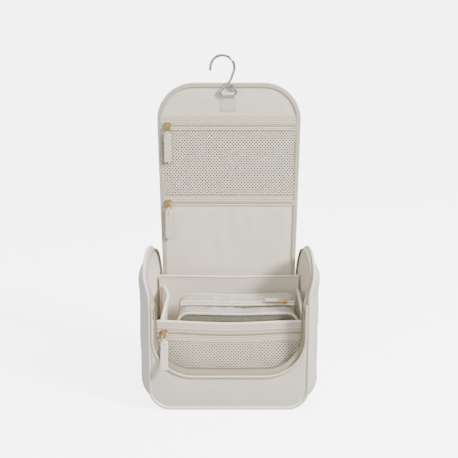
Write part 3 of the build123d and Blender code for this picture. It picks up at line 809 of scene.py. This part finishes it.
pocket = side_sheet(-1, 86.5, 79.0, 86.5, 132, 1.5, 104)
cloth("left_pocket", pocket, 0.7, POCKET, "bag", ("side_slip_pocket",), "lining", flip=True)
hem("left_pocket_hem", resample(pocket[-1], 2.5), 0.9, 2.0, EDGE_BEAD, "bag", (1, 0, 0))
stitch_line("left_pocket_stitches", resample(pocket[-1], 2.5) - [-0.5, 0, 3.4], (1, 0, 0), "bag")
pocket = side_sheet(1, 93.5, 91.5, 90.5, 128, 1.0, 118)
wide = np.linalg.norm(np.diff(pocket[12], axis=0), axis=1).sum()


def grid_point(grid, u, v):
    """Place on a grid at shares u across and v along, with its facing direction."""
    rows, columns = grid.shape[:2]
    a, b = v * (rows - 1), u * (columns - 1)
    i, j = min(int(a), rows - 2), min(int(b), columns - 2)
    s, t = a - i, b - j
    p = grid[i:i + 2, j:j + 2]
    spot = (p[0, 0] * (1 - s) + p[1, 0] * s) * (1 - t) + (p[0, 1] * (1 - s) + p[1, 1] * s) * t
    return spot, p[0, 1] - p[0, 0], p[1, 0] - p[0, 0]


MESH_ROW = 2.3  # height of a row of knitted cells
MESH_STEP = 4.1  # from cell to cell along a row


def knit(name, grid, high, wide, body, nodes, turn=1):
    """Knitted mesh over a grid: staggered cells, wide and high being its size in millimetres."""
    spots, ways, faces = [], [], []
    for row in range(int(high / MESH_ROW) + 1):
        v = row * MESH_ROW / high
        for step in range(int(wide / MESH_STEP)):
            u = (MESH_STEP * (step + 0.5 * (row % 2)) + 2.0) / wide
            if v > 1 or u > 1:
                continue
            spot, across, along = grid_point(grid, u, v)
            facing = np.cross(across, along) * turn
            spots.append(spot)
            ways.append(across)
            faces.append(facing / np.linalg.norm(facing))
    return copies(name, CELL, np.array(spots), np.array(ways), np.array(faces), MESH, body, nodes)


knit("right_pocket", pocket, 119, wide, "bag", ("side_mesh_pocket",), turn=-1)
hem("right_pocket_hem", resample(pocket[-1], 2.5), 0.8, 1.8, EDGE_BEAD, "bag", (1, 0, 0))

# front pocket

FRONT_REACH = lambda z: min(body_half(-40, z), 110) - 4.0
# Painted shade: the front pocket's back takes the near-black backing colour for the shade behind the mesh.
cloth("front_pocket_lining", panel(POCKET_FLOOR, 110, FRONT_REACH, lambda x, z: -34.4), 0.5, SHADE, "bag",
      ("front_pocket_back",), "lining")


def pocket_sag(x):
    return 3.2 * math.cos(min(1.0, abs(x) / 96) * math.pi / 2) ** 2


def band_profile():
    """Turned top of the front pocket, from its back over the top and down to the zip."""
    line = rounded([(-34.6, 100), (-34.6, 114), (-40.1, 113.2), (-40.4, 103.2)], [2.2, 2.2], 1.0)
    columns = np.linspace(-1, 1, 61)
    grid = np.zeros((len(line), len(columns), 3))
    for i, (y, z) in enumerate(line):
        for j, share in enumerate(columns):
            x = share * (FRONT_REACH(105) + (0.0 if y > -37 else 0.4))
            ridge = 0.4 * math.sin(z * 2.6) if y < -39.5 else 0
            grid[i, j] = (x, y - ridge + wave(x, z, 0.03, 1.0) * 0.4, z - pocket_sag(x))
    return grid


cloth("front_pocket_top", band_profile(), 0.7, LINING, "bag", ("front_pocket_band",), "lining", flip=True)
BAND_X = np.linspace(-92, 92, 75)
for number, z in enumerate((111.2, 108.6, 103.4)):
    line = np.array([(x, -40.75, z - pocket_sag(x)) for x in BAND_X])
    stitch_line(f"front_band_stitches_{number}", line, (0, -1, 0), "bag", SEAM_THREAD, 2.7, SMALL_STITCH)


def ribbed(y, z_low, z_high, reach, drop, ribs, depth=0.6, columns=61):
    """Zip tape with fine ribs along it."""
    rows = np.linspace(z_low, z_high, ribs * 4 + 1)
    grid = np.zeros((len(rows), columns, 3))
    for i, z in enumerate(rows):
        rib = depth * (0.5 - 0.5 * math.cos(2 * math.pi * ribs * i / (len(rows) - 1)))
        for j, share in enumerate(np.linspace(-1, 1, columns)):
            x = share * reach(z)
            grid[i, j] = (x, y - rib, z - drop(x))
    return grid


cloth("front_zip_band", ribbed(-39.9, 87.5, 103.4, FRONT_REACH, pocket_sag, 7), 0.6, ZIP, "bag",
      ("front_pocket_zip",), "zip_tape")


def zip_coil(name, y, z, reach, drop, body, shape=FINE_TOOTH, material=PALE_COIL):
    xs = np.arange(-reach, reach, 1.25)
    points = np.array([(x, y, z - drop(x)) for x in xs])
    along = np.array([(0.35, 0, 1)] * len(xs))
    return copies(name, shape, points, along, (0, -1, 0), material, body)


zip_coil("front_zip_coil", -40.5, 98.2, 92, pocket_sag, "bag")


def front_bulge(x, z):
    part = max(0.0, min(1.0, (z - 9) / 79))
    side = max(0.0, 1 - (x / 104) ** 2)
    return -39.7 - 2.6 * math.sin(math.pi * part) ** 0.8 * side ** 0.5 + wave(x, z, 0.035, 9.0) * 0.8 * side


front_net = panel(POCKET_FLOOR, 88.5, lambda z: FRONT_REACH(z) - 1, front_bulge, 61, 41)
front_net[:, :, 2] -= np.array([[pocket_sag(x) * max(0, (z - POCKET_FLOOR) / 79.5) for x, y, z in row]
                                for row in front_net])
even = np.linspace(0, 1, 61)
for row in front_net:
    lengths = (row[:, 0] - row[0, 0]) / (row[-1, 0] - row[0, 0])
    row[:] = np.stack([np.interp(even, lengths, row[:, k]) for k in range(3)], 1)
knit("front_net", front_net, 79.5, 190, "bag", ("front_pocket_mesh",))

# ---- lid -------------------------------------------------------------------------------------

CUTS = [HINGE - 6] + [(a + b) / 2 for a, b in zip([HINGE] + FOLDS, FOLDS)] + [LID_TOP]
LID_PARTS = list(zip(("bag", "lid_1", "lid_2", "lid_3"), ("lid_1", "lid_2", "lid_3", "lid_4"),
                     CUTS, CUTS[1:], [HINGE] + FOLDS))


def fold_over(piece, number, nodes=()):
    """A lid piece with its transform baked in, and the CAD nodes that it stands for hidden."""
    first, second, _, _, fold = LID_PARTS[number]
    middle = 54.0 if number == 0 else LID_FRONT
    middle * MM
    (fold - 2.6) * MM
    middle * MM
    (fold + 2.6) * MM
    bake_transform(piece)
    return settle(piece, None, nodes)


def lid_half(z, drawn_in=0.0):
    """Half width of the lid at a height, drawn in from its edge."""
    bend = LID_TOP - LID_CORNER
    if z <= bend:
        share = (z - HINGE) / (LID_TOP - HINGE)
        return LID_HINGE_HALF + (LID_END_HALF - LID_HINGE_HALF) * share - drawn_in
    radius = LID_CORNER - drawn_in
    arc = math.sqrt(max(0.0, radius ** 2 - (z - bend) ** 2))
    return LID_END_HALF - LID_CORNER + arc - 0.4 * (1 - (z - bend) / LID_CORNER)


def lid_rows(low, high, step=4.0):
    """Heights between two limits, closer together round folds and the end's corners."""
    marks = [low, high]
    marks += [z for z in np.arange(low, high, step)]
    for fold in [HINGE] + FOLDS:
        marks += [z for z in np.linspace(fold - 3, fold + 3, 9) if low < z < high]
    bend = LID_TOP - LID_CORNER
    marks += [bend + (high - bend) * math.sin(turn)
              for turn in np.linspace(0, math.pi / 2, 16) if high > bend + 10]
    rows = sorted(z for z in marks if low <= z <= high)
    return [z for z, after in zip(rows, rows[1:] + [1e9]) if after - z > 0.25]


def lid_sheet(low, high, depth, drawn_in=0.0, columns=61):
    """Layer of the lid; depth(x, z) is where its face lies."""
    rows = lid_rows(low, high)
    if rows[-1] < high - 0.01:
        rows[-1] = high
    grid = np.zeros((len(rows), columns, 3))
    for i, z in enumerate(rows):
        for j, share in enumerate(np.sin(np.linspace(-math.pi / 2, math.pi / 2, columns))):
            x = share * lid_half(z, drawn_in)
            grid[i, j] = (x, depth(x, z), z)
    return grid


def lid_layer(name, low, high, depth, drawn_in, thickness, material, nodes=None, flip=False):
    """A layer of the lid, in one piece for each fold that it crosses."""
    for number, (_, _, cut, after, _) in enumerate(LID_PARTS):
        start, end = max(low, cut), min(high, after)
        if end - start < 0.5:
            continue
        grid = lid_sheet(start, end, depth, drawn_in)
        piece = cloth(f"{name}_{number}", grid, thickness, material, flip=flip)
        fold_over(piece, number, (nodes or {}).get(number, ()))


def edge_share(x, z, drawn_in, reach=14.0):
    """0 at the lid's edge, rising to 1 further in."""
    near = min(lid_half(z, drawn_in) - abs(x), LID_TOP - drawn_in - z)
    return max(0.0, min(1.0, near / reach))


def outer_depth(x, z):
    soft = edge_share(x, z, 2.0, 20.0) * min(1.0, max(0, (z - HINGE) / 20))
    return LID_BACK - 0.5 + 0.9 * soft + wave(x, z, 0.018, 12.0) * 0.9 * soft


lid_layer("lid_outer", HINGE - 6, LID_TOP - 1.8, outer_depth, 1.8, 1.0, OUTER,
          {0: ("lid_shell_1",), 1: ("lid_shell_2",), 2: ("lid_shell_3",), 3: ("lid_shell_4",)}, flip=True)


def plain_depth(x, z):
    puff = edge_share(x, z, 6.0, 16.0)
    return (LID_FRONT + 1.6 - 1.0 * puff + wave(x, z, 0.024, 2.2) * 0.8 * puff
            + wave(x, z, 0.06, 7.2) * 0.25 * puff)


def pocket_depth(x, z):
    puff = edge_share(x, z, 6.0, 12.0) * min(1.0, max(0.0, (z - 146) / 12), max(0.0, (240 - z) / 10))
    crease = abs(wave(x * 1.6, z * 0.7, 0.03, 15.0))
    return LID_FRONT + 1.5 - 1.2 * puff + crease * 1.3 * puff + wave(x, z, 0.07, 5.5) * 0.25 * puff


ZIP_LOW = float((box("lid_zip_low")[0][2])) + 4.0
ZIP_TOP = float(sum(box("lid_zip_top")[i][2] for i in (0, 1)) / 2)
NET_LOW, NET_TOP = FOLDS[1] - 1.5, ZIP_TOP - 5.6
lid_layer("lid_pocket", HINGE - 2, ZIP_LOW - 3.6, pocket_depth, 5.0, 0.6, POCKET,
          {0: ("lid_pocket_lower", "lid_lining_1"), 1: ("lid_pocket_upper", "lid_lining_2")})
# Painted shade: the layer behind the lid's mesh takes the near-black backing colour for the pocket's inner
# shade.
lid_layer("lid_backing", ZIP_LOW - 4.5, ZIP_TOP, lambda x, z: LID_FRONT + 2.5, 5.0, 0.4, SHADE,
          {2: ("lid_lining_3",)})
lid_layer("lid_crown", ZIP_TOP + 11.6, LID_TOP - 5.0, plain_depth, 5.0, 0.6, LINING,
          {3: ("lid_lining_4",)})
cloth("lid_zip_band_low", ribbed(LID_FRONT + 0.9, ZIP_LOW - 4.6, ZIP_LOW + 9.4, lambda z: lid_half(z, 5.0),
                                 lambda x: 0, 5),
      0.5, ZIP, "lid_2", ("lid_zip_low",), "zip_tape")
cloth("lid_zip_band_top", ribbed(LID_FRONT + 0.9, ZIP_TOP - 6.4, ZIP_TOP + 13.2, lambda z: lid_half(z, 5.0),
                                 lambda x: 0, 8),
      0.5, ZIP, "lid_4", ("lid_zip_top",), "zip_tape")
zip_coil("lid_coil_low", LID_FRONT + 0.35, ZIP_LOW, 85, lambda x: 0, "lid_2")
zip_coil("lid_coil_top", LID_FRONT + 0.35, ZIP_TOP, 87, lambda x: 0, "lid_4")
for name, z, body in (("low", ZIP_LOW, "lid_2"), ("top", ZIP_TOP, "lid_4")):
    for number, shift in enumerate((-3.4, 3.4) if name == "low" else (-3.4, 3.4, 8.0, 12.2)):
        line = np.array([(x, LID_FRONT + 0.5, z + shift) for x in np.linspace(-86, 86, 60)])
        stitch_line(f"lid_zip_{name}_stitches_{number}", line, (0, -1, 0), body, SEAM_THREAD, 2.7,
                    SMALL_STITCH)
    bars = np.array([(84.5 + step, LID_FRONT + 0.2, z + rise) for step in (0, 1.2, 2.4)
                     for rise in (-2.2, 0, 2.2)])
    copies(f"lid_zip_{name}_end", STITCH, bars, (0, 0, 1), (0, -1, 0), THREAD, body)


def net_depth(x, z):
    puff = edge_share(x, z, 6.0, 14.0)
    return LID_FRONT + 0.9 - 0.7 * puff + wave(x, z, 0.03, 19.0) * 0.5 * puff


def lid_net(number, low, high, nodes):
    """Knitted mesh between two heights, following the lid's sides."""
    spots = []
    first = math.ceil((low - NET_LOW) / 2.3)
    for row in range(first, int((high - NET_LOW) / 2.3) + 1):
        z = NET_LOW + row * 2.3
        if z >= high:
            continue
        reach = lid_half(z, 5.6)
        for step in range(-24, 25):
            x = 4.1 * (step + 0.5 * (row % 2))
            if abs(x) < reach:
                spots.append((x, net_depth(x, z), z))
    piece = copies(f"lid_net_{number}", CELL, np.array(spots), (1, 0, 0), (0, -1, 0), MESH)
    fold_over(piece, number, nodes)


lid_net(2, NET_LOW + 0.5, CUTS[3], ("lid_mesh_lower",))
lid_net(3, CUTS[3], NET_TOP, ("lid_mesh_upper",))

# edge of the lid: a bead of binding outside, a zip tape inside it, and a seam


def lid_edge(low, high, out):
    """Runs of the lid's edge between two heights, moved in by out: one over the end, or one a side."""
    if high > LID_TOP - 1:
        top, half = LID_TOP - out, LID_END_HALF - out
        line = rounded([(-lid_half(low, out), low), (-half, top), (half, top), (lid_half(low, out), low)],
                       LID_CORNER - out, 2.0)
        return [line]
    heights = np.unique(np.round(lid_rows(low, high, 3.0)[:-1] + [high], 3))
    sides = []
    for side in (-1, 1):
        run = np.array([(side * lid_half(z, out), z) for z in heights])
        sides.append(run if side < 0 else run[::-1])
    return sides


for number, (_, _, cut, after, _) in enumerate(LID_PARTS):
    low = max(cut, HINGE)
    for name, out, section, material, slot, node in (
        ("bead", 1.7, oval(1.7, 2.35, 14), LID_EDGE, "edging", "lid_rim"),
        ("tape", 4.4, oval(1.9, 0.8, 10, (0, -1.7)), EDGING, "edging", None),
    ):
        parts = []
        for run in lid_edge(low, after, out):
            path = np.stack([run[:, 0], np.full(len(run), (LID_FRONT + LID_BACK) / 2), run[:, 1]], axis=1)
            parts.append(sweep_parts(path, section, (0, 1, 0)))
        piece = make(f"lid_edge_{name}_{number}", *joined(parts), material)
        fold_over(piece, number, (f"{node}_{number + 1}",) if node else ())
    spots, ways = [], []
    for run in lid_edge(low + 1, after if number < 3 else LID_TOP, 5.9):
        run = resample(run, 3.0)
        way = directions(run)
        spots += [(x, LID_FRONT + 0.5, z) for x, z in run[:-1]]
        ways += [(x, 0, z) for x, z in way[:-1]]
    piece = copies(f"lid_edge_seam_{number}", STITCH, np.array(spots), np.array(ways), (0, -1, 0),
                   SEAM_THREAD)
    fold_over(piece, number, ())

# ---- hanger loop and hook --------------------------------------------------------------------

hook_low, hook_high = box("hook")
loop_low, loop_high = box("hanger_loop")
HOOK_Y = float((hook_low[1] + hook_high[1]) / 2)
HOOK_Z = float(hook_low[2]) + 1.75
LOOP_X = float((loop_low[0] + loop_high[0]) / 2)


def strap():
    """Leather strap folded round the hook's lower bar, its ends sewn to the lid."""
    radius = 2.45
    side = [(LID_FRONT - 0.05, loop_low[2]), (LID_FRONT - 0.1, loop_low[2] + 8),
            (LID_FRONT - 0.12, HOOK_Z - 5.6)]
    ring = [(HOOK_Y - radius * math.cos(turn), HOOK_Z + radius * math.sin(turn))
            for turn in np.linspace(-0.5, math.pi + 0.5, 16)]
    line = resample(side + ring + [(LID_FRONT + 0.9, HOOK_Z - 7), (LID_FRONT + 1.0, HOOK_Z - 16)], 0.9)
    grid = np.zeros((len(line), 15, 3))
    neck = 7.7
    for i, (y, z) in enumerate(line):
        share = max(0.0, min(1.0, (z - (HOOK_Z - 8)) / 6))
        half = 10.0 * (1 - share) + neck * share
        if i < 2:
            half -= 0.5 * (2 - i)
        for j, part in enumerate(np.linspace(-1, 1, 15)):
            grid[i, j] = (LOOP_X + part * half, y, z)
    return grid


cloth("hanger_strap", strap(), 0.85, TAB, "lid_4", ("hanger_loop",), "tab_leather")
low, high = loop_low[2] + 1.6, loop_low[2] + 15.5
left, right = LOOP_X - 8.3, LOOP_X + 8.3
FACE = LID_FRONT - 0.12
corners = [(left, FACE, low), (right, FACE, low), (right, FACE, high), (left, FACE, high), (left, FACE, low)]
for number, line in enumerate((corners[0:2], corners[1:3], corners[2:4], corners[3:5],
                               [corners[0], corners[2]], [corners[1], corners[3]])):
    stitch_line(f"hanger_stitches_{number}", np.array(line, float), (0, -1, 0), "lid_4", SEAM_THREAD, 2.6,
                STITCH)

def repaint(node, material):
    """The CAD shape stays; its material slots take a better material."""
    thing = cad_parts[node]
    for place in thing.material_slots:
        place.link = "OBJECT"
        place.material = material


repaint("hook", CHROME)
for node in ("lid_top_slider", "lid_low_slider", "front_slider", "main_slider_left", "main_slider_right",
             "pouch_slider", "lid_top_link", "lid_low_link", "front_link"):
    repaint(node, GOLD)

# ---- pull tabs -------------------------------------------------------------------------------


def tab_parts(width, length, thickness, corner):
    """Padded leather tab that hangs down from its own origin, its face to +Y of its own frame."""
    half = width / 2
    outline = rounded([(0, 0), (half - 0.4, 0), (half, -length), (-half, -length), (-half + 0.4, 0), (0, 0)],
                      [corner * 0.7, corner, corner, corner * 0.7], 1.2)[:-1]
    count = len(outline)
    middle = np.array([0, -length / 2])
    vertices, faces = [], []
    for inset, depth in ((1.0, -0.5), (0.35, -0.46), (0.0, -0.2), (0.0, 0.2), (0.35, 0.46), (1.0, 0.5)):
        for point in outline:
            inward = middle - point
            shrink = np.array([np.sign(inward[0]) * min(abs(inward[0]), inset),
                               np.sign(inward[1]) * min(abs(inward[1]), inset)])
            x, z = point + shrink
            vertices.append((x, depth * thickness, z))
    faces = grid_faces(6, count, wrap=True)
    faces += [tuple(range(count - 1, -1, -1)), tuple(range(5 * count, 6 * count))]
    return np.array(vertices), faces


def pull_tab(name, body, node, eye, turn, width, length, drop, slot="tab_leather", rivet=True):
    """Tab, stitches and rivet below an eye; turn is its frame: X across, -Y front, Z up."""
    place = lambda points: (np.asarray(points, float) @ np.array(turn.to_3x3()).T) + eye
    vertices, faces = tab_parts(width, length, 1.7, 2.0)
    vertices = vertices + [0, 0, -drop]
    bend = 0.5 * np.sin((vertices[:, 2] + drop) / length * math.pi)
    vertices[:, 1] += bend * 0.6
    make(name, place(vertices), faces, TAB, body, (node,), slot, crease=60)
    half = width / 2 - 1.3
    line = [(-half, -0.95, -drop - 9), (-half, -0.95, -drop - length + 1.6),
            (half, -0.95, -drop - length + 1.6),
            (half, -0.95, -drop - 9), (-half, -0.95, -drop - 9)]
    spots, ways = [], []
    for here, there in zip(line, line[1:]):
        run = resample([here, there], 2.0)
        run[:, 1] += 0.3 * np.sin((run[:, 2] + drop) / length * math.pi)
        spots += list(run[:-1] + 0.0)
        ways += [np.subtract(there, here)] * (len(run) - 1)
    spots, ways = place(spots), place(ways) - eye
    facing = place([(0, -1, 0)]) - eye
    copies(f"{name}_stitches", SMALL_STITCH, spots, ways, facing[0], THREAD, body)
    if rivet:
        rings = [(0.0, 0.5), (0.7, 0.45), (1.15, 0.2), (1.3, -0.1)]
        turns = np.linspace(0, 2 * math.pi, 20, endpoint=False)
        dome = [(size * math.cos(a), -0.9 - lift, -drop - 4.6 + size * math.sin(a))
                for size, lift in rings[1:] for a in turns]
        dome.append((0, -0.9 - rings[0][1], -drop - 4.6))
        faces = grid_faces(3, 20, wrap=True)
        faces += [(60, (k + 1) % 20, k) for k in range(20)]
        make(f"{name}_rivet", place(dome), faces, GOLD, body, slot="gold")
    fold = rounded([(0, -1.3), (1.5, -1.3), (1.5, 1.3), (-1.5, 1.3), (-1.5, -1.3), (0, -1.3)], 1.25, 0.8)[:-1]
    bead = [(x, y, -8.0 + z) for x in (-2.1, 2.1) for y, z in fold]
    count = len(fold)
    faces = grid_faces(2, count, wrap=True) + [tuple(range(count - 1, -1, -1)),
                                               tuple(range(count, 2 * count))]
    make(f"{name}_fold", place(bead), faces, TAB, body, slot=slot)


UPRIGHT = Matrix.Identity(4)
for name, node in (("lid_top_tab", "lid_top"), ("lid_low_tab", "lid_low")):
    link_low, link_high = box(f"{node}_link")
    eye = np.array([(link_low[0] + link_high[0]) / 2, (link_low[1] + link_high[1]) / 2, link_high[2] - 0.7])
    pull_tab(f"{node}_pull_leather", f"{node}_pull", name, eye, UPRIGHT, 10.0, 38.0, 9.0)
LEAN = Matrix.Rotation(math.radians(-31), 4, "X")
link_low, link_high = box("front_link")
eye = np.array([(link_low[0] + link_high[0]) / 2, link_high[1] - 0.66, link_high[2] - 0.66])
pull_tab("front_pull_leather", "front_pull", "front_tab", eye, LEAN, 10.0, 38.0, 9.0)
for side in ("left", "right"):
    pull_low, pull_high = box(f"main_pull_{side}")
    eye = np.array([(pull_low[0] + pull_high[0]) / 2, (pull_low[1] + pull_high[1]) / 2, pull_high[2] - 0.8])
    about = Matrix.Rotation(math.pi, 4, "Z")
    pull_tab(f"main_leather_{side}", f"main_pull_{side}", f"main_pull_{side}", eye, about, 8.0, 34.0, 8.4)
    loop = rounded([(0, 0.9), (2.9, 0.9), (2.9, -8.6), (-2.9, -8.6), (-2.9, 0.9), (0, 0.9)], 1.2, 0.8)
    wire = np.stack([loop[:, 0], np.zeros(len(loop)), loop[:, 1]], 1) + eye - [0, 0, 0.9]
    make(f"main_link_{side}", *tube_parts(wire, 0.65, 8), GOLD, f"main_pull_{side}", slot="gold")

# ---- loose pouch -----------------------------------------------------------------------------

shell_low, shell_high = box("pouch_shell")
PX0, PX1 = float(shell_low[0]), float(shell_high[0])
PY0, PY1 = float(shell_low[1]), float(shell_high[1])
PZ0, PTOP = float(shell_low[2]), float(shell_high[2])
PFRONT_TOP = PTOP - 6.0
POUCH_BEND = 14.0


def pouch_corner(x_share, z_share, y):
    """Place on one of the pouch's end panels, which have round corners and sag between them."""
    top = PFRONT_TOP if y < (PY0 + PY1) / 2 else PTOP
    half, height = (PX1 - PX0) / 2, top - PZ0
    x = x_share * half
    reach = max(0.0, abs(x) - (half - POUCH_BEND))
    cut = POUCH_BEND - math.sqrt(max(0.0, POUCH_BEND ** 2 - reach ** 2))
    low, high = PZ0 + cut, top - cut - 1.6 * math.cos(x_share * math.pi / 2) ** 2
    return (PX0 + PX1) / 2 + x, low + (high - low) * z_share


def pouch_face(y, out):
    grid = np.zeros((33, 47, 3))
    for i, up in enumerate(np.linspace(0, 1, 33)):
        for j, share in enumerate(np.sin(np.linspace(-math.pi / 2, math.pi / 2, 47))):
            x, z = pouch_corner(share, up, y)
            swell = (1 - share ** 2) * math.sin(math.pi * up)
            crumple = abs(wave(x, z, 0.03, 3.0)) * 1.6 + wave(x, z, 0.09, 1.0) * 0.5
            grid[i, j] = (x, y + out * (1.0 * swell + crumple * (0.2 + swell)) * 0.9, z)
    return grid


def pouch_ring(y, shift=0.0):
    """Outline of an end panel, with the middle of its foot first."""
    top = PFRONT_TOP if y < (PY0 + PY1) / 2 else PTOP
    half, mid = (PX1 - PX0) / 2 + shift, (PX0 + PX1) / 2
    ring = rounded([(mid, PZ0), (mid + half, PZ0), (mid + half, top), (mid - half, top), (mid - half, PZ0),
                    (mid, PZ0)],
                   POUCH_BEND, 2.0)
    sag = [1.6 * math.cos((x - mid) / half * math.pi / 2) ** 2 if z > top - POUCH_BEND - 1 else 0
           for x, z in ring]
    return np.stack([ring[:, 0], np.full(len(ring), y), ring[:, 1] - sag], 1)


def pouch_wrap():
    """Film between the two end panels, pulled in a little and crumpled on top."""
    count = 220
    front, back = (np.stack([np.interp(np.linspace(0, 1, count), np.linspace(0, 1, len(ring)), ring[:, k])
                             for k in range(3)], 1) for ring in (pouch_ring(PY0), pouch_ring(PY1)))
    grid = np.zeros((19, count, 3))
    mid = np.array([(PX0 + PX1) / 2, 0, (PZ0 + PTOP) / 2])
    for i, part in enumerate(np.linspace(0, 1, 19)):
        flat = front + (back - front) * part
        for j, point in enumerate(flat):
            inward = mid - point
            inward[1] = 0
            inward /= np.linalg.norm(inward)
            pull = math.sin(math.pi * part)
            on_top = point[2] > PFRONT_TOP - 12
            crumple = abs(wave(point[0] * 0.5, point[1] * 1.6, 0.06, 3.0)) * 5.0
            crumple += abs(wave(point[0] * 0.6, point[1] * 2, 0.12, 8.0)) * 2.0
            depth = pull * (1.0 + (crumple if on_top else 0.4 * crumple))
            grid[i, j] = point + inward * depth
    return grid


# The pouch's front face wears the copy of the film darkened with painted shade.
cloth("pouch_front_film", pouch_face(PY0, -1), 0.3, PAINTED_SHADE_FILM, "pouch", ("pouch_shell",), "clear")
cloth("pouch_back_film", pouch_face(PY1, 1), 0.3, FILM, "pouch", slot="clear", flip=True)
cloth("pouch_side_film", pouch_wrap(), 0.3, FILM, "pouch", slot="clear")
parts = []
for y in (PY0 - 0.9, PY1 + 0.9):
    parts.append(sweep_parts(pouch_ring(y)[:-1], oval(1.6, 1.1, 10), (0, 1, 0), closed=True))
make("pouch_bindings", *joined(parts), BINDING, "pouch", ("pouch_binding",), "binding")
zip_low, zip_high = box("pouch_zip")
slope = math.atan2(6.0, PY1 - PY0)
mid_y, mid_z = (PY0 + PY1) / 2, (PFRONT_TOP + PTOP) / 2
strip = np.zeros((17, 61, 3))
for i, part in enumerate(np.linspace(-1, 1, 17)):
    for j, share in enumerate(np.linspace(0, 1, 61)):
        x = zip_low[0] + (zip_high[0] - zip_low[0]) * share
        lift = 0.9 + 0.25 * math.cos(part * math.pi * 4) - 0.7 * math.sin(math.pi * share)
        strip[i, j] = (x, mid_y + 6 * part * math.cos(slope), mid_z + 6 * part * math.sin(slope) + lift)
cloth("pouch_zip_tape", strip, 0.5, BINDING, "pouch", ("pouch_zip",), "binding")
line = resample(strip[8], 1.25)
copies("pouch_coil", FINE_TOOTH, line + [0, 0, 0.3], (0.3, 1, 0.1), (0, -math.sin(slope), math.cos(slope)),
       PALE_COIL, "pouch")
repaint("pouch_pull", BINDING)

# ---- floor, light and camera -----------------------------------------------------------------


def plain(name, colour, glow):
    material = Material(name, Roughness=0.9, Emission_Strength=glow)
    material.shader.inputs["Base Color"].default_value = (*colour, 1)
    material.shader.inputs["Emission Color"].default_value = (1, 1, 1, 1)
    return material.data


def backdrop():
    """Floor that curves up into a wall behind the bag."""
    line = rounded([(-9000, 0), (2400, 0), (2400, 9000)], [1100], 100)
    grid = np.array([[(x, y, z - 0.05) for x in np.linspace(-9000, 9000, 9)] for y, z in line])
    return make("studio_floor", grid.reshape(-1, 3), grid_faces(len(line), 9),
                plain("studio_floor", (0.9, 0.9, 0.9), 4.2))


floor = backdrop()
floor.visible_diffuse = False
floor.visible_glossy = False
for name, place, size, power, aim in (
    ("key_light", (1.5, -1.0, 1.6), 0.6, 125, (0, 0, 0.2)),
    ("fill_light", (-1.6, -1.4, 1.1), 1.8, 22, (0, 0, 0.2)),
    ("top_light", (0.2, 0.5, 2.2), 1.8, 35, (0, 0.1, 0.2)),
):
    data = bpy.data.lights.new(name, "AREA")
    data.shape = "DISK"
    data.size = size
    data.energy = power
    light = bpy.data.objects.new(name, data)
    light.location = place
    light.rotation_euler = (Vector(aim) - Vector(place)).to_track_quat("-Z", "Y").to_euler()
    bpy.context.scene.collection.objects.link(light)
world = bpy.data.worlds.new("studio")
world.use_nodes = True
world.node_tree.nodes["Background"].inputs["Color"].default_value = (1, 1, 1, 1)
world.node_tree.nodes["Background"].inputs["Strength"].default_value = 0.75
bpy.context.scene.world = world
camera_data = bpy.data.cameras.new("camera")
camera_data.lens = 81.5
camera_data.sensor_width = 36
camera = bpy.data.objects.new("camera", camera_data)
camera.location = (0, -1.2683, 0.5623)
camera.rotation_euler = (math.radians(75), 0, 0)
bpy.context.scene.collection.objects.link(camera)
bpy.context.scene.camera = camera
